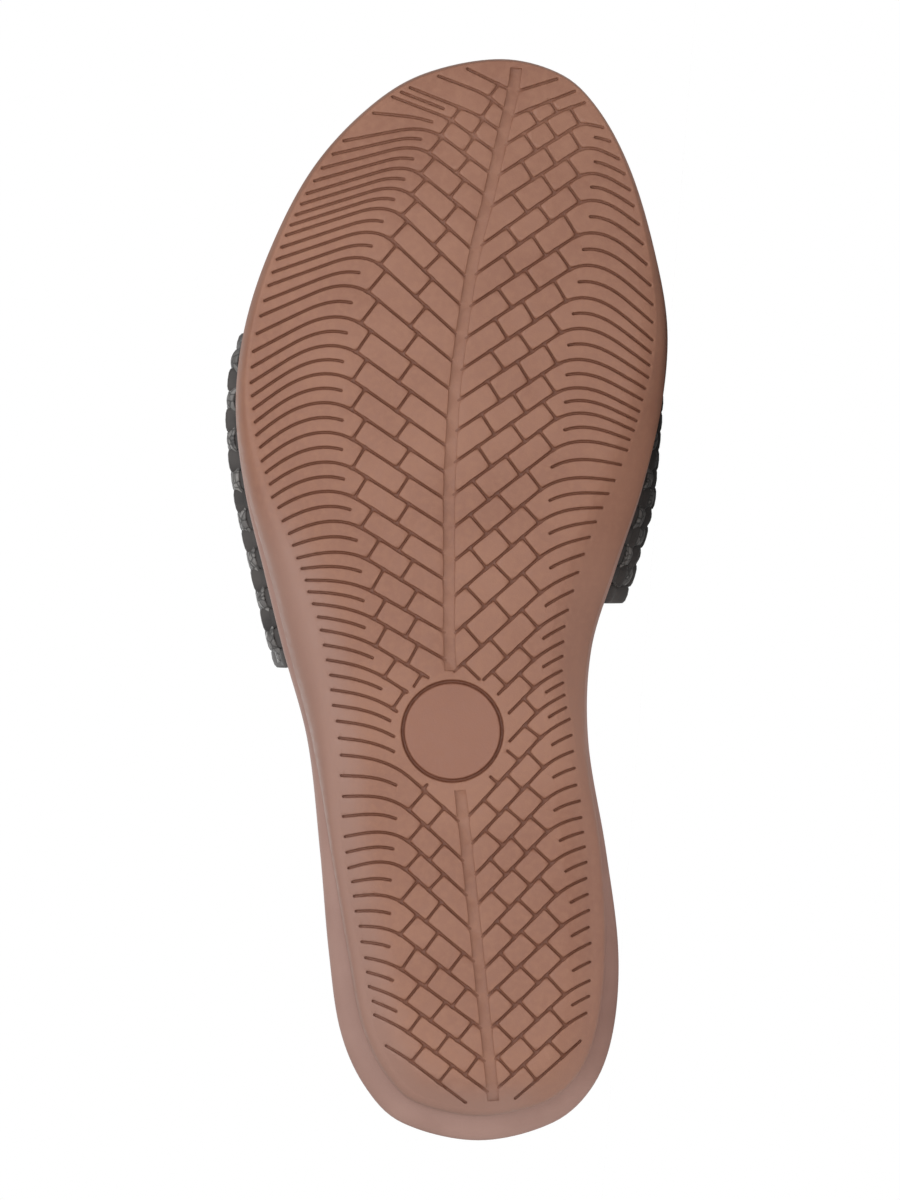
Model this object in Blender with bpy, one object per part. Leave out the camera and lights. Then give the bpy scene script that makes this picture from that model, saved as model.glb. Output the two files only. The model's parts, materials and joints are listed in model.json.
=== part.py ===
"""Right-foot slide sandal: a woven band on a moulded sole, lying on its inner side.

Built in the shoe's own frame first: x from heel to toe, y towards the inner (medial) side, z up from the
tread. Tables are in millimetres; the lying pose at the end turns the whole shoe onto its side.
"""
import math
from collections import namedtuple

import bmesh
import bpy
import numpy as np
from mathutils import Matrix
from mathutils.geometry import delaunay_2d_cdt

# Driving sizes, in millimetres
LENGTH = 260.0
GAP = 0.3
HEEL_TIP_ACROSS = 2.2
TOE_TIP_ACROSS = 7.5
RING_POINTS = 80
CURVE_STEPS = 16

# Sole outline seen from below: a row per section, from heel to toe.
# Tread and seam columns are how far the tread's edge and the parting line stand inside the rim.
OutlineRow = namedtuple(
    "OutlineRow", "along lateral medial tread_lateral tread_medial seam_lateral seam_medial")
OUTLINE = [
    OutlineRow(4.3, -16.2, 20.2, 10.0, 9.8, 6.2, 6.0),
    OutlineRow(13.2, -25.2, 29.8, 9.7, 8.6, 5.9, 5.2),
    OutlineRow(26.5, -31.0, 34.6, 9.2, 7.4, 5.4, 4.5),
    OutlineRow(45.7, -33.8, 35.8, 8.8, 7.2, 4.5, 3.5),
    OutlineRow(69.8, -35.9, 32.8, 7.4, 5.2, 2.6, 1.5),
    OutlineRow(96.3, -38.9, 28.5, 7.6, 4.4, 1.1, 0.8),
    OutlineRow(117.9, -44.7, 29.2, 10.2, 7.0, 1.3, 0.8),
    OutlineRow(137.2, -49.4, 35.0, 8.6, 9.0, 1.2, 0.8),
    OutlineRow(156.4, -53.9, 41.3, 6.0, 7.4, 0.5, 0.4),
    OutlineRow(175.7, -56.0, 45.7, 3.8, 5.0, 0.0, 0.0),
    OutlineRow(194.9, -53.9, 47.2, 2.8, 3.6, 0.0, 0.0),
    OutlineRow(214.2, -47.6, 44.0, 2.0, 2.2, 0.0, 0.0),
    OutlineRow(233.4, -37.6, 38.4, 1.8, 1.8, 0.1, 0.1),
    OutlineRow(247.8, -24.6, 31.0, 1.9, 1.9, 0.3, 0.3),
    OutlineRow(256.3, -11.2, 22.2, 2.1, 2.1, 0.4, 0.4),
]
TIP_HEEL_TREAD = 10.0
TIP_HEEL_SEAM = 6.4
TIP_TOE_TREAD = 2.0
TIP_TOE_SEAM = 0.4

# Side view of the sole: tread line, parting line and rim above the floor, and how deep the footbed is dished
HeightRow = namedtuple("HeightRow", "along tread seam rim dish")
HEIGHTS = [
    HeightRow(0.0, 1.8, 11.4, 28.0, 3.5),
    HeightRow(22.0, 0.0, 10.2, 27.6, 3.5),
    HeightRow(90.0, 0.0, 9.2, 26.0, 3.0),
    HeightRow(140.0, 0.0, 8.4, 23.2, 2.0),
    HeightRow(188.0, 0.0, 7.6, 21.0, 1.6),
    HeightRow(225.0, 2.4, 9.6, 22.0, 1.4),
    HeightRow(260.0, 8.0, 14.8, 26.4, 1.0),
]
DISH_REACH = 24.0

# Side wall in section: shares of the way out and of the way up, from the tread's edge to the parting line
WALL_OUT = (0.0, 0.34, 0.72, 0.985, 1.0)
WALL_UP = (0.0, 0.04, 0.16, 0.40, 1.0)
# From the parting line to the rim's shoulder: widest low down, then slightly tucked in
FLARE_OUT = (0.0, 0.66, 1.0, 0.97, 0.86)
FLARE_UP = (0.0, 0.10, 0.26, 0.60, 1.0)
RIM_ROUND = 1.6
RIM_CHAMFER = 0.3

# Tread: a spine groove in two lengths, and rows of lugs that slant up and out from it on both sides.
# Pitch is measured along the spine, slant in degrees, lugs is how far out a row's straight groove runs.
TreadRow = namedtuple(
    "TreadRow", "along spine lateral_pitch medial_pitch lateral_slant medial_slant lateral_lugs medial_lugs")
TREAD = [
    TreadRow(10.0, 5.5, 8.2, 7.3, 34.0, 43.0, 15.0, 15.0),
    TreadRow(40.0, 2.3, 8.2, 7.5, 33.0, 42.0, 15.0, 17.5),
    TreadRow(70.0, -0.9, 8.1, 7.6, 32.0, 42.0, 14.5, 17.0),
    TreadRow(100.0, -4.0, 7.2, 8.0, 31.0, 44.0, 16.0, 18.0),
    TreadRow(125.0, -5.2, 6.5, 8.4, 30.0, 44.0, 20.0, 21.0),
    TreadRow(150.0, -5.2, 6.5, 8.0, 30.0, 38.0, 24.0, 23.0),
    TreadRow(175.0, -4.2, 6.5, 7.5, 33.0, 33.0, 25.0, 24.0),
    TreadRow(200.0, -1.2, 6.6, 7.5, 35.0, 33.0, 25.0, 24.0),
    TreadRow(225.0, 3.1, 5.6, 7.2, 33.0, 32.0, 21.0, 23.0),
    TreadRow(245.0, 7.7, 5.0, 6.4, 29.0, 24.0, 13.0, 14.0),
    TreadRow(258.0, 10.8, 4.8, 6.0, 22.0, 15.0, 6.0, 6.0),
]
SPINE_LENGTHS = ((11.4, 84.8), (113.0, 255.6))
SPINE_WIDTH = 2.8
SPINE_FLOOR = 1.7
SPINE_DEPTH = 1.5
LUG_GROOVE_WIDTH = 1.3
LUG_GROOVE_DEPTH = 1.2
FIRST_LATERAL_ROW = 12.5
FIRST_MEDIAL_ROW = 14.3
LAST_ROW = 250.0
ROW_STEPS = 9
PAD_CLEAR = 2.6
EDGE_CLEAR = 1.6
PAD_ALONG = 98.7
PAD_ACROSS = -4.4
PAD_RING_RADIUS = 11.8
PAD_RING_WIDTH = 1.1
PAD_RING_DEPTH = 1.0
PAD_POINTS = 32

# Footbed sheet
INSOLE_INSET = 4.4
INSOLE_THICK = 3.0
INSOLE_ROUND = 0.9
FOOTBED_SPACING = 13.0
SEAM_SPACING = 24.0
FILL_MARGIN = 0.45

# Band: a row per section from its front edge (share 0) to its rear edge (share 1).
# Root and belly are how far the wall's middle stands outside the rim, at the footbed and at its widest;
# crest is the wall's height over the midsole, sweep moves the crest towards the toe.
BandRow = namedtuple(
    "BandRow", "share lateral medial lateral_root medial_root lateral_belly medial_belly crest sweep")
BAND = [
    BandRow(0.00, 194.4, 207.6, -1.8, -2.4, -0.2, -1.9, 41.0, -6.0),
    BandRow(0.25, 174.5, 188.2, -1.2, -2.2, 0.6, -1.5, 46.0, -3.2),
    BandRow(0.50, 154.2, 168.6, -0.8, -1.0, 1.2, 0.5, 51.5, -0.4),
    BandRow(0.75, 134.0, 149.0, -0.5, 0.6, 1.6, 2.8, 57.0, 2.4),
    BandRow(1.00, 113.6, 129.2, -0.4, 0.6, 1.6, 2.8, 62.0, 5.0),
]
WALL = 2.0
FLANGE = 11.0
FLANGE_STEPS = 3
FLANGE_DROP = 0.2
RECESS_CLEAR = 0.4
RECESS_END = 1.1
BEND = 2.0
BEND_TURNS = (30.0, 60.0, 90.0)
BELLY_RISE = 12.0
LEG_STEPS = 5
ARCH_POWER = 2.3
ARCH_STEPS = 24
CREST_MEDIAL = 5.0
# Weave: strips across the foot (wefts) and along it (warps), over and under in turn
WEFTS = 18
WARPS = 36
WEFT_RAISE = 1.2
WARP_RAISE = 0.9
EDGE_RAISE = 0.4
INNER_ROWS = 4
INNER_COLUMNS = 2
RECESS_INNER = 0.6
RECESS_REACH = 8.0

# Lying pose: the turn about the shoe's length and the lift of its toe that set three points on the floor
LEAN_DEG = 2.924
PITCH_DEG = -4.479

RUBBER = (0.345, 0.168, 0.117, 1.0)
FOAM = (0.356, 0.209, 0.168, 1.0)
SUEDE = (0.048, 0.046, 0.044, 1.0)
WOVEN = (0.075, 0.073, 0.070, 1.0)


def table_value(rows, column, places):
    """Smooth value of a table column at places along its first column, without overshoot between rows."""
    at = np.array([row[0] for row in rows])
    value = np.array([getattr(row, column) for row in rows])
    step = np.diff(at)
    slope = np.diff(value) / step
    tangent = np.zeros_like(value)
    tangent[0] = slope[0]
    tangent[-1] = slope[-1]
    same_way = slope[:-1] * slope[1:] > 0
    total = np.where(same_way, slope[:-1] + slope[1:], 1.0)
    tangent[1:-1] = np.where(same_way, 2 * slope[:-1] * slope[1:] / total, 0.0)
    places = np.clip(np.asarray(places, float), at[0], at[-1])
    index = np.clip(np.searchsorted(at, places, side="right") - 1, 0, len(step) - 1)
    width = step[index]
    t = (places - at[index]) / width
    return ((1 + 2 * t) * (1 - t) ** 2 * value[index] + t * (1 - t) ** 2 * width * tangent[index]
            + t * t * (3 - 2 * t) * value[index + 1] + t * t * (t - 1) * width * tangent[index + 1])


def smooth_loop(rows, count):
    """Evenly spaced points on the closed curve through rows of x, y and riding values."""
    rows = np.array(rows, float)
    fine = []
    for number in range(len(rows)):
        around = [rows[(number + shift) % len(rows)] for shift in (-1, 0, 1, 2)]
        knots = [0.0]
        for before, after in zip(around, around[1:]):
            knots.append(knots[-1] + math.sqrt(np.linalg.norm(after[:2] - before[:2])))
        into = (around[2] - around[0]) / (knots[2] - knots[0])
        out_of = (around[3] - around[1]) / (knots[3] - knots[1])
        reach = knots[2] - knots[1]
        for t in np.linspace(0.0, 1.0, CURVE_STEPS, endpoint=False):
            fine.append((1 + 2 * t) * (1 - t) ** 2 * around[1] + t * (1 - t) ** 2 * reach * into
                        + t * t * (3 - 2 * t) * around[2] + t * t * (t - 1) * reach * out_of)
    fine = np.array(fine + [fine[0]])
    travel = np.concatenate([[0.0], np.cumsum(np.linalg.norm(np.diff(fine[:, :2], axis=0), axis=1))])
    wanted = np.linspace(0.0, travel[-1], count, endpoint=False)
    return np.column_stack([np.interp(wanted, travel, column) for column in fine.T])


def sole_outline():
    """Rim points with outward directions and the insets of tread edge and parting line."""
    rows = [(0.0, HEEL_TIP_ACROSS, TIP_HEEL_TREAD, TIP_HEEL_SEAM)]
    rows += [(row.along, row.medial, row.tread_medial, row.seam_medial) for row in OUTLINE]
    rows += [(LENGTH, TOE_TIP_ACROSS, TIP_TOE_TREAD, TIP_TOE_SEAM)]
    rows += [(row.along, row.lateral, row.tread_lateral, row.seam_lateral) for row in reversed(OUTLINE)]
    loop = smooth_loop(rows, RING_POINTS)
    ahead = np.roll(loop[:, :2], -1, axis=0) - np.roll(loop[:, :2], 1, axis=0)
    ahead /= np.linalg.norm(ahead, axis=1)[:, None]
    outward = np.column_stack([-ahead[:, 1], ahead[:, 0]])
    return loop[:, :2], outward, loop[:, 2], loop[:, 3]


RIM, RIM_OUTWARD, TREAD_INSET, SEAM_INSET = sole_outline()


def ring(inset, height):
    """One closed row of points inside the rim by inset, at the heights given."""
    flat = RIM - RIM_OUTWARD * np.broadcast_to(inset, len(RIM))[:, None]
    return np.column_stack([flat, np.broadcast_to(height, len(RIM))])


def rim_distance(points):
    """How far points of the footbed stand inside the rim."""
    gaps = np.linalg.norm(points[:, None, :2] - RIM[None, :, :], axis=2)
    return gaps.min(axis=1)


def tread_margin(points):
    """How far plan points stand inside the tread's edge."""
    gaps = np.linalg.norm(points[:, None] - RIM[None], axis=2)
    return gaps.min(axis=1) - TREAD_INSET[gaps.argmin(axis=1)]


def rim_across(along, side):
    """Across position of the rim at a place along the sole: side -1 lateral, +1 medial."""
    half = RIM[RIM[:, 1] * side > 0]
    order = np.argsort(half[:, 0])
    return np.interp(along, half[order, 0], half[order, 1])


def midsole_top(points):
    """Dished top of the midsole."""
    depth = np.clip(rim_distance(points) / DISH_REACH, 0.0, 1.0)
    dish = table_value(HEIGHTS, "dish", points[:, 0])
    return table_value(HEIGHTS, "rim", points[:, 0]) - dish * depth * depth * (3 - 2 * depth)


def seam_level(points):
    """Height of the parting surface between outsole and midsole."""
    return table_value(HEIGHTS, "seam", points[:, 0])


def inside_row(points, boundary):
    """Which plan points lie inside a closed row."""
    inside = np.zeros(len(points), bool)
    for (x0, y0), (x1, y1) in zip(boundary, np.roll(boundary, -1, axis=0)):
        crosses = (y0 > points[:, 1]) != (y1 > points[:, 1])
        span = y1 - y0 if y1 != y0 else 1.0
        inside ^= crosses & (points[:, 0] < x0 + (points[:, 1] - y0) * (x1 - x0) / span)
    return inside


def inner_points(boundary, spacing):
    """Grid of plan points well inside a closed row, so that a fill follows its curve."""
    boundary = boundary[:, :2]
    low = boundary.min(axis=0)
    high = boundary.max(axis=0)
    xs = np.arange(low[0] + spacing / 2, high[0], spacing)
    ys = np.arange(low[1] + spacing / 2, high[1], spacing)
    grid = np.array([(x, y) for x in xs for y in ys])
    clear = np.linalg.norm(grid[:, None] - boundary[None], axis=2).min(axis=1) > spacing * FILL_MARGIN
    return grid[inside_row(grid, boundary) & clear]


class Solid:
    """Points and faces of one closed piece, gathered row by row."""

    def __init__(self):
        self.points = []
        self.faces = []

    def add_row(self, row):
        start = len(self.points)
        self.points.extend(tuple(point) for point in row)
        return list(range(start, len(self.points)))

    def skin(self, lower, upper):
        """Side faces between two closed rows of equal length."""
        for number in range(len(lower)):
            after = (number + 1) % len(lower)
            self.faces.append((lower[number], upper[number], upper[after]))
            self.faces.append((lower[number], upper[after], lower[after]))

    def fill(self, row, level, lines, loose, face_up):
        """Close a row with a surface whose height is level(points), creased along the lines given."""
        flat = [self.points[index][:2] for index in row]
        boundary = np.array(flat)
        edges = [(number, (number + 1) % len(row)) for number in range(len(row))]
        for line in lines:
            start = len(flat)
            flat.extend(tuple(point) for point in line)
            edges.extend((number, number + 1) for number in range(start, len(flat) - 1))
        flat.extend(tuple(point) for point in loose)
        found, _, faces, sources, _, _ = delaunay_2d_cdt(
            [list(point) for point in flat], edges, [], 0, 1e-4, True)
        found = np.array([(point[0], point[1]) for point in found])
        heights = level(found)
        middles = np.array([found[list(face)].mean(axis=0) for face in faces])
        faces = [face for face, within in zip(faces, inside_row(middles, boundary)) if within]
        names = []
        for number, source in enumerate(sources):
            shared = [index for index in source if index < len(row)]
            if shared:
                names.append(row[shared[0]])
            else:
                names.append(len(self.points))
                self.points.append((found[number][0], found[number][1], heights[number]))
        for face in faces:
            corners = [names[index] for index in face]
            a, b, c = (self.points[index] for index in corners)
            turn = (b[0] - a[0]) * (c[1] - a[1]) - (b[1] - a[1]) * (c[0] - a[0])
            if (turn > 0) != face_up:
                corners.reverse()
            self.faces.append(tuple(corners))

    def sheet(self, grid, flip):
        """Faces over a grid of point numbers."""
        for upper, lower in zip(grid, grid[1:]):
            for a, b, c, d in zip(upper, upper[1:], lower[1:], lower):
                pair = [(a, b, c), (a, c, d)]
                self.faces.extend(tuple(reversed(face)) if flip else face for face in pair)

    def lace(self, fine, coarse, flip):
        """Faces between a fine row and a coarse row that share their ends."""
        every = (len(fine) - 1) // (len(coarse) - 1)
        half = every // 2
        for number in range(len(coarse) - 1):
            first = number * every
            faces = [(coarse[number], fine[k], fine[k + 1]) for k in range(first, first + half)]
            faces.append((coarse[number], fine[first + half], coarse[number + 1]))
            faces += [(coarse[number + 1], fine[k], fine[k + 1]) for k in range(first + half, first + every)]
            self.faces.extend(tuple(reversed(face)) if flip else face for face in faces)

    def to_object(self, name, color, roughness):
        """A Blender object of this piece with its own material, in metres."""
        mesh = bpy.data.meshes.new(name)
        mesh.from_pydata([(x / 1000, y / 1000, z / 1000) for x, y, z in self.points], [], self.faces)
        work = bmesh.new()
        work.from_mesh(mesh)
        bmesh.ops.recalc_face_normals(work, faces=work.faces)
        work.to_mesh(mesh)
        work.free()
        piece = bpy.data.objects.new(name, mesh)
        bpy.context.scene.collection.objects.link(piece)
        finish = bpy.data.materials.new(name)
        finish.use_nodes = True
        shader = finish.node_tree.nodes["Principled BSDF"]
        shader.inputs["Base Color"].default_value = color
        shader.inputs["Roughness"].default_value = roughness
        shader.inputs["Metallic"].default_value = 0.0
        mesh.materials.append(finish)
        return piece


def spine_line(first, last):
    """Middle line of one length of the spine groove."""
    along = np.linspace(first, last, max(2, round((last - first) / 12)))
    return np.column_stack([along, table_value(TREAD, "spine", along)])


def lug_lines(side):
    """Middle lines of the straight grooves between rows of lugs on one side of the spine."""
    name = "lateral" if side < 0 else "medial"
    start = FIRST_LATERAL_ROW if side < 0 else FIRST_MEDIAL_ROW
    lines = []
    while start < LAST_ROW:
        slant = math.radians(float(table_value(TREAD, name + "_slant", start)))
        reach = float(table_value(TREAD, name + "_lugs", start))
        outs = np.linspace(0.0, reach, ROW_STEPS)
        line = np.column_stack([start + outs * math.tan(slant),
                                float(table_value(TREAD, "spine", start)) + side * outs])
        pad_gap = np.hypot(line[:, 0] - PAD_ALONG, line[:, 1] - PAD_ACROSS)
        kept = line[(pad_gap > PAD_RING_RADIUS + PAD_CLEAR) & (tread_margin(line) > EDGE_CLEAR)]
        if len(kept) > 2:
            lines.append(np.array([kept[0], kept[-1]]))
        start += float(table_value(TREAD, name + "_pitch", start))
    return lines


def beside(line, offset):
    """A line moved sideways by offset."""
    ahead = np.gradient(line, axis=0)
    ahead /= np.linalg.norm(ahead, axis=1)[:, None]
    return line + offset * np.column_stack([-ahead[:, 1], ahead[:, 0]])


def line_distance(points, line):
    """Distance of plan points from a line of straight pieces."""
    best = np.full(len(points), 1e9)
    for first, last in zip(line, line[1:]):
        run = last - first
        share = np.clip(((points - first) @ run) / (run @ run), 0.0, 1.0)
        best = np.minimum(best, np.linalg.norm(points - first - share[:, None] * run, axis=1))
    return best


SPINES = [spine_line(*ends) for ends in SPINE_LENGTHS]
LUG_GROOVES = lug_lines(-1) + lug_lines(1)


def tread_level(points):
    """Height of the tread: its side-view line with the spine, the lug grooves and the pad's ring cut in."""
    depth = np.zeros(len(points))
    for line in SPINES:
        gap = line_distance(points, line)
        down = np.clip((SPINE_WIDTH - 2 * gap) / (SPINE_WIDTH - SPINE_FLOOR), 0, 1)
        depth = np.maximum(depth, SPINE_DEPTH * down)
    for line in LUG_GROOVES:
        gap = line_distance(points, line)
        depth = np.maximum(depth, LUG_GROOVE_DEPTH * np.clip(1 - gap / (LUG_GROOVE_WIDTH / 2), 0, 1))
    from_pad = np.abs(np.hypot(points[:, 0] - PAD_ALONG, points[:, 1] - PAD_ACROSS) - PAD_RING_RADIUS)
    depth = np.maximum(depth, PAD_RING_DEPTH * np.clip(1 - from_pad / (PAD_RING_WIDTH / 2), 0, 1))
    return table_value(HEIGHTS, "tread", points[:, 0]) + depth


def tread_creases():
    """Plan lines along which the tread's surface breaks."""
    lines = []
    for line in SPINES:
        for width in (-SPINE_WIDTH, -SPINE_FLOOR, SPINE_FLOOR, SPINE_WIDTH):
            lines.append(beside(line, width / 2))
    for line in LUG_GROOVES:
        for share in (-0.5, 0.0, 0.5):
            lines.append(beside(line, share * LUG_GROOVE_WIDTH))
    turns = np.linspace(0.0, 2 * math.pi, PAD_POINTS + 1)
    around = np.column_stack([np.cos(turns), np.sin(turns)])
    for share in (-0.5, 0.0, 0.5):
        lines.append((PAD_ALONG, PAD_ACROSS) + around * (PAD_RING_RADIUS + share * PAD_RING_WIDTH))
    return lines


def make_outsole():
    """Tread, rounded lower side wall and the surface under the midsole."""
    solid = Solid()
    tread = table_value(HEIGHTS, "tread", RIM[:, 0])
    seam = table_value(HEIGHTS, "seam", RIM[:, 0])
    rows = []
    for out, up in zip(WALL_OUT, WALL_UP):
        inset = TREAD_INSET + (SEAM_INSET - TREAD_INSET) * out
        rows.append(solid.add_row(ring(inset, tread + (seam - tread) * up)))
    for lower, upper in zip(rows, rows[1:]):
        solid.skin(lower, upper)
    bottom = np.array([solid.points[index] for index in rows[0]])
    top = np.array([solid.points[index] for index in rows[-1]])
    solid.fill(rows[0], tread_level, tread_creases(), inner_points(bottom, SEAM_SPACING), False)
    solid.fill(rows[-1], seam_level, [], inner_points(top, SEAM_SPACING), True)
    return solid.to_object("outsole", RUBBER, 0.5)


def make_midsole():
    """Flaring side wall above the parting line, rounded rim and dished top."""
    solid = Solid()
    seam = table_value(HEIGHTS, "seam", RIM[:, 0]) + GAP
    rim = table_value(HEIGHTS, "rim", RIM[:, 0])
    shoulder = rim - RIM_ROUND
    rows = []
    for out, up in zip(FLARE_OUT, FLARE_UP):
        rows.append(solid.add_row(ring(SEAM_INSET * (1 - out), seam + (shoulder - seam) * up)))
    tuck = SEAM_INSET * (1 - FLARE_OUT[-1])
    rows.append(solid.add_row(ring(tuck + RIM_ROUND * RIM_CHAMFER, rim - RIM_ROUND * RIM_CHAMFER)))
    rows.append(solid.add_row(ring(tuck + RIM_ROUND, rim)))
    for lower, upper in zip(rows, rows[1:]):
        solid.skin(lower, upper)
    bottom = np.array([solid.points[index] for index in rows[0]])
    under_insole = ring(INSOLE_INSET, 0.0)[:, :2]
    insole_edge = np.append(under_insole, under_insole[:1], axis=0)
    under = inner_points(bottom, SEAM_SPACING)
    solid.fill(rows[0], lambda points: seam_level(points) + GAP, [], under, False)
    solid.fill(rows[-1], midsole_top, [insole_edge], inner_points(under_insole, FOOTBED_SPACING), True)
    return solid.to_object("midsole", FOAM, 0.55)


def make_insole():
    """Footbed sheet lying on the midsole, its top edge rounded."""
    solid = Solid()
    inset = ring(INSOLE_INSET, 0.0)
    base = midsole_top(inset) + GAP
    rows = [solid.add_row(ring(INSOLE_INSET, base)),
            solid.add_row(ring(INSOLE_INSET, base + INSOLE_THICK - INSOLE_ROUND)),
            solid.add_row(ring(INSOLE_INSET + INSOLE_ROUND, base + INSOLE_THICK))]
    for lower, upper in zip(rows, rows[1:]):
        solid.skin(lower, upper)
    loose = inner_points(inset, FOOTBED_SPACING)
    solid.fill(rows[0], lambda points: midsole_top(points) + GAP, [], loose, False)
    solid.fill(rows[-1], lambda points: midsole_top(points) + GAP + INSOLE_THICK, [], loose, True)
    return solid.to_object("insole", SUEDE, 0.85)


def band_section(share):
    """Middle line of the band's wall at one section: lateral flange, arch, medial flange."""
    row = {name: float(table_value(BAND, name, share)) for name in BandRow._fields}
    legs = {}
    for side, name in ((-1, "lateral"), (1, "medial")):
        along = row[name]
        edge = float(rim_across(along, side))
        root = edge + side * row[name + "_root"]
        belly = edge + side * row[name + "_belly"]
        outs = np.linspace(FLANGE, BEND, FLANGE_STEPS)
        flange = np.column_stack([np.full(FLANGE_STEPS, along), root - side * outs])
        level = midsole_top(flange) - WALL / 2 - FLANGE_DROP
        turns = np.radians(BEND_TURNS)
        bend_across = root - side * BEND * (1 - np.sin(turns))
        bend_level = level[-1] + BEND * (1 - np.cos(turns))
        rise = np.linspace(0.0, 1.0, LEG_STEPS + 1)[1:]
        leg_across = root + (belly - root) * rise * rise * (3 - 2 * rise)
        leg_level = bend_level[-1] + (BELLY_RISE - BEND) * rise
        legs[name] = (np.concatenate([flange[:, 1], bend_across]), np.concatenate([level, bend_level]),
                      leg_across, leg_level, edge)
    base = max(legs["lateral"][3][-1], legs["medial"][3][-1])
    crest_across = (legs["lateral"][2][-1] + legs["medial"][2][-1]) / 2 + CREST_MEDIAL
    crest_level = base - BELLY_RISE + row["crest"]
    quarter = np.linspace(0.0, math.pi / 2, ARCH_STEPS + 1)
    woven = []
    for name in ("lateral", "medial"):
        _, _, leg_across, leg_level, _ = legs[name]
        out = np.cos(quarter[1:]) ** (2 / ARCH_POWER)
        up = np.sin(quarter[1:]) ** (2 / ARCH_POWER)
        arch = np.column_stack([crest_across + (leg_across[-1] - crest_across) * out,
                                leg_level[-1] + (crest_level - leg_level[-1]) * up])
        woven.append(np.concatenate([np.column_stack([leg_across, leg_level]), arch]))
    middle = np.concatenate([woven[0], woven[1][-2::-1]])
    travel = np.concatenate([[0.0], np.cumsum(np.linalg.norm(np.diff(middle, axis=0), axis=1))])
    wanted = np.linspace(0.0, travel[-1], 2 * WARPS + 1)
    middle = np.column_stack([np.interp(wanted, travel, column) for column in middle.T])
    roots = [np.column_stack(legs[name][:2]) for name in ("lateral", "medial")]
    line = np.concatenate([roots[0], middle, roots[1][::-1]])
    lateral_edge = legs["lateral"][4]
    across = np.clip((line[:, 0] - lateral_edge) / (legs["medial"][4] - lateral_edge), 0.0, 1.0)
    along = row["lateral"] + (row["medial"] - row["lateral"]) * across
    along += row["sweep"] * np.sin(math.pi * across)
    return np.column_stack([along, line])


def band_grid():
    """Middle surface of the band and its outward directions: a row per section, a column around the foot."""
    middle = np.array([band_section(share) for share in np.linspace(0.0, 1.0, 2 * WEFTS + 1)])
    around = np.gradient(middle, axis=1)
    back = np.gradient(middle, axis=0)
    outward = np.cross(back, around)
    outward /= np.linalg.norm(outward, axis=2)[:, :, None]
    crest = middle.shape[1] // 2
    if outward[0, crest, 2] < 0:
        outward = -outward
    return middle, outward


def weave_height(row, column):
    """How far a strip stands above the wall at one grid point: odd rows and columns are strips' middles."""
    woven = column - FLANGE_STEPS - len(BEND_TURNS)
    if woven < 1 or woven > 2 * WARPS - 1:
        return 0.0
    on_weft = row % 2
    on_warp = woven % 2
    if on_weft and on_warp:
        weft_over = (row // 2 + woven // 2) % 2 == 0
        return WEFT_RAISE if weft_over else WARP_RAISE
    return EDGE_RAISE if on_weft or on_warp else 0.0


def make_upper():
    """Woven band: one wall, its strips raised outside, its edges turned in under the footbed."""
    solid = Solid()
    middle, outward = band_grid()
    rows, columns = middle.shape[:2]
    lift = np.array([[weave_height(row, column) for column in range(columns)] for row in range(rows)])
    outer = middle + outward * (WALL / 2 + lift)[:, :, None]
    inner = (middle - outward * WALL / 2)[::INNER_ROWS, ::INNER_COLUMNS]
    outer_names = [solid.add_row(row) for row in outer]
    inner_names = [solid.add_row(row) for row in inner]
    solid.sheet(outer_names, False)
    solid.sheet(inner_names, True)
    for end in (0, -1):
        solid.lace(outer_names[end], inner_names[end], end == 0)
        solid.lace([row[end] for row in outer_names], [row[end] for row in inner_names], end == 0)
    return solid.to_object("upper", WOVEN, 0.45)


def make_recess(side):
    """Block that clears the midsole under one turned-in edge of the band."""
    solid = Solid()
    middle, _ = band_grid()
    from_flange = middle[::INNER_ROWS, ::-side]
    flange = from_flange[:, :FLANGE_STEPS]
    floor = np.append(flange, flange[:, -1:], axis=1) - np.array([0.0, 0.0, WALL / 2 + RECESS_CLEAR])
    floor[:, 0, 1] -= side * RECESS_INNER
    floor[:, -1, 1] += side * RECESS_REACH
    floor[0, :, 0] += RECESS_END
    floor[-1, :, 0] -= RECESS_END
    lid = floor + np.array([0.0, 0.0, RECESS_REACH])
    floor_names = [solid.add_row(row) for row in floor]
    lid_names = [solid.add_row(row) for row in lid]
    solid.sheet(floor_names, False)
    solid.sheet(lid_names, True)
    for end in (0, -1):
        solid.sheet([floor_names[end], lid_names[end]], end == 0)
        solid.sheet([[row[end] for row in floor_names], [row[end] for row in lid_names]], end == 0)
    return solid.to_object("recess", FOAM, 0.5)


def cut_away(piece, tool):
    """Cut a tool's shape out of a piece and drop the tool."""
    cut = piece.modifiers.new("recess", "BOOLEAN")
    cut.operation = "DIFFERENCE"
    cut.solver = "EXACT"
    cut.object = tool
    shaped = bpy.data.meshes.new_from_object(piece.evaluated_get(bpy.context.evaluated_depsgraph_get()))
    piece.modifiers.remove(cut)
    shaped.materials.clear()
    shaped.materials.append(piece.data.materials[0])
    piece.data = shaped
    bpy.data.objects.remove(tool)


def lay_on_side(pieces):
    """Turn the shoe onto its inner side and set it on the floor, centred over the origin."""
    pitch = Matrix.Rotation(math.radians(PITCH_DEG), 4, "Y")
    turn = pitch @ Matrix.Rotation(math.radians(LEAN_DEG - 90), 4, "X")
    for piece in pieces:
        piece.data.transform(turn)
    corners = np.array([vertex.co for piece in pieces for vertex in piece.data.vertices])
    low = corners.min(axis=0)
    high = corners.max(axis=0)
    shift = Matrix.Translation((-(low[0] + high[0]) / 2, -(low[1] + high[1]) / 2, -low[2]))
    for piece in pieces:
        piece.data.transform(shift)


for old in list(bpy.data.objects):
    bpy.data.objects.remove(old)

outsole = make_outsole()
midsole = make_midsole()
insole = make_insole()
upper = make_upper()
cut_away(midsole, make_recess(-1))
cut_away(midsole, make_recess(1))
lay_on_side([outsole, midsole, insole, upper])
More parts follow.
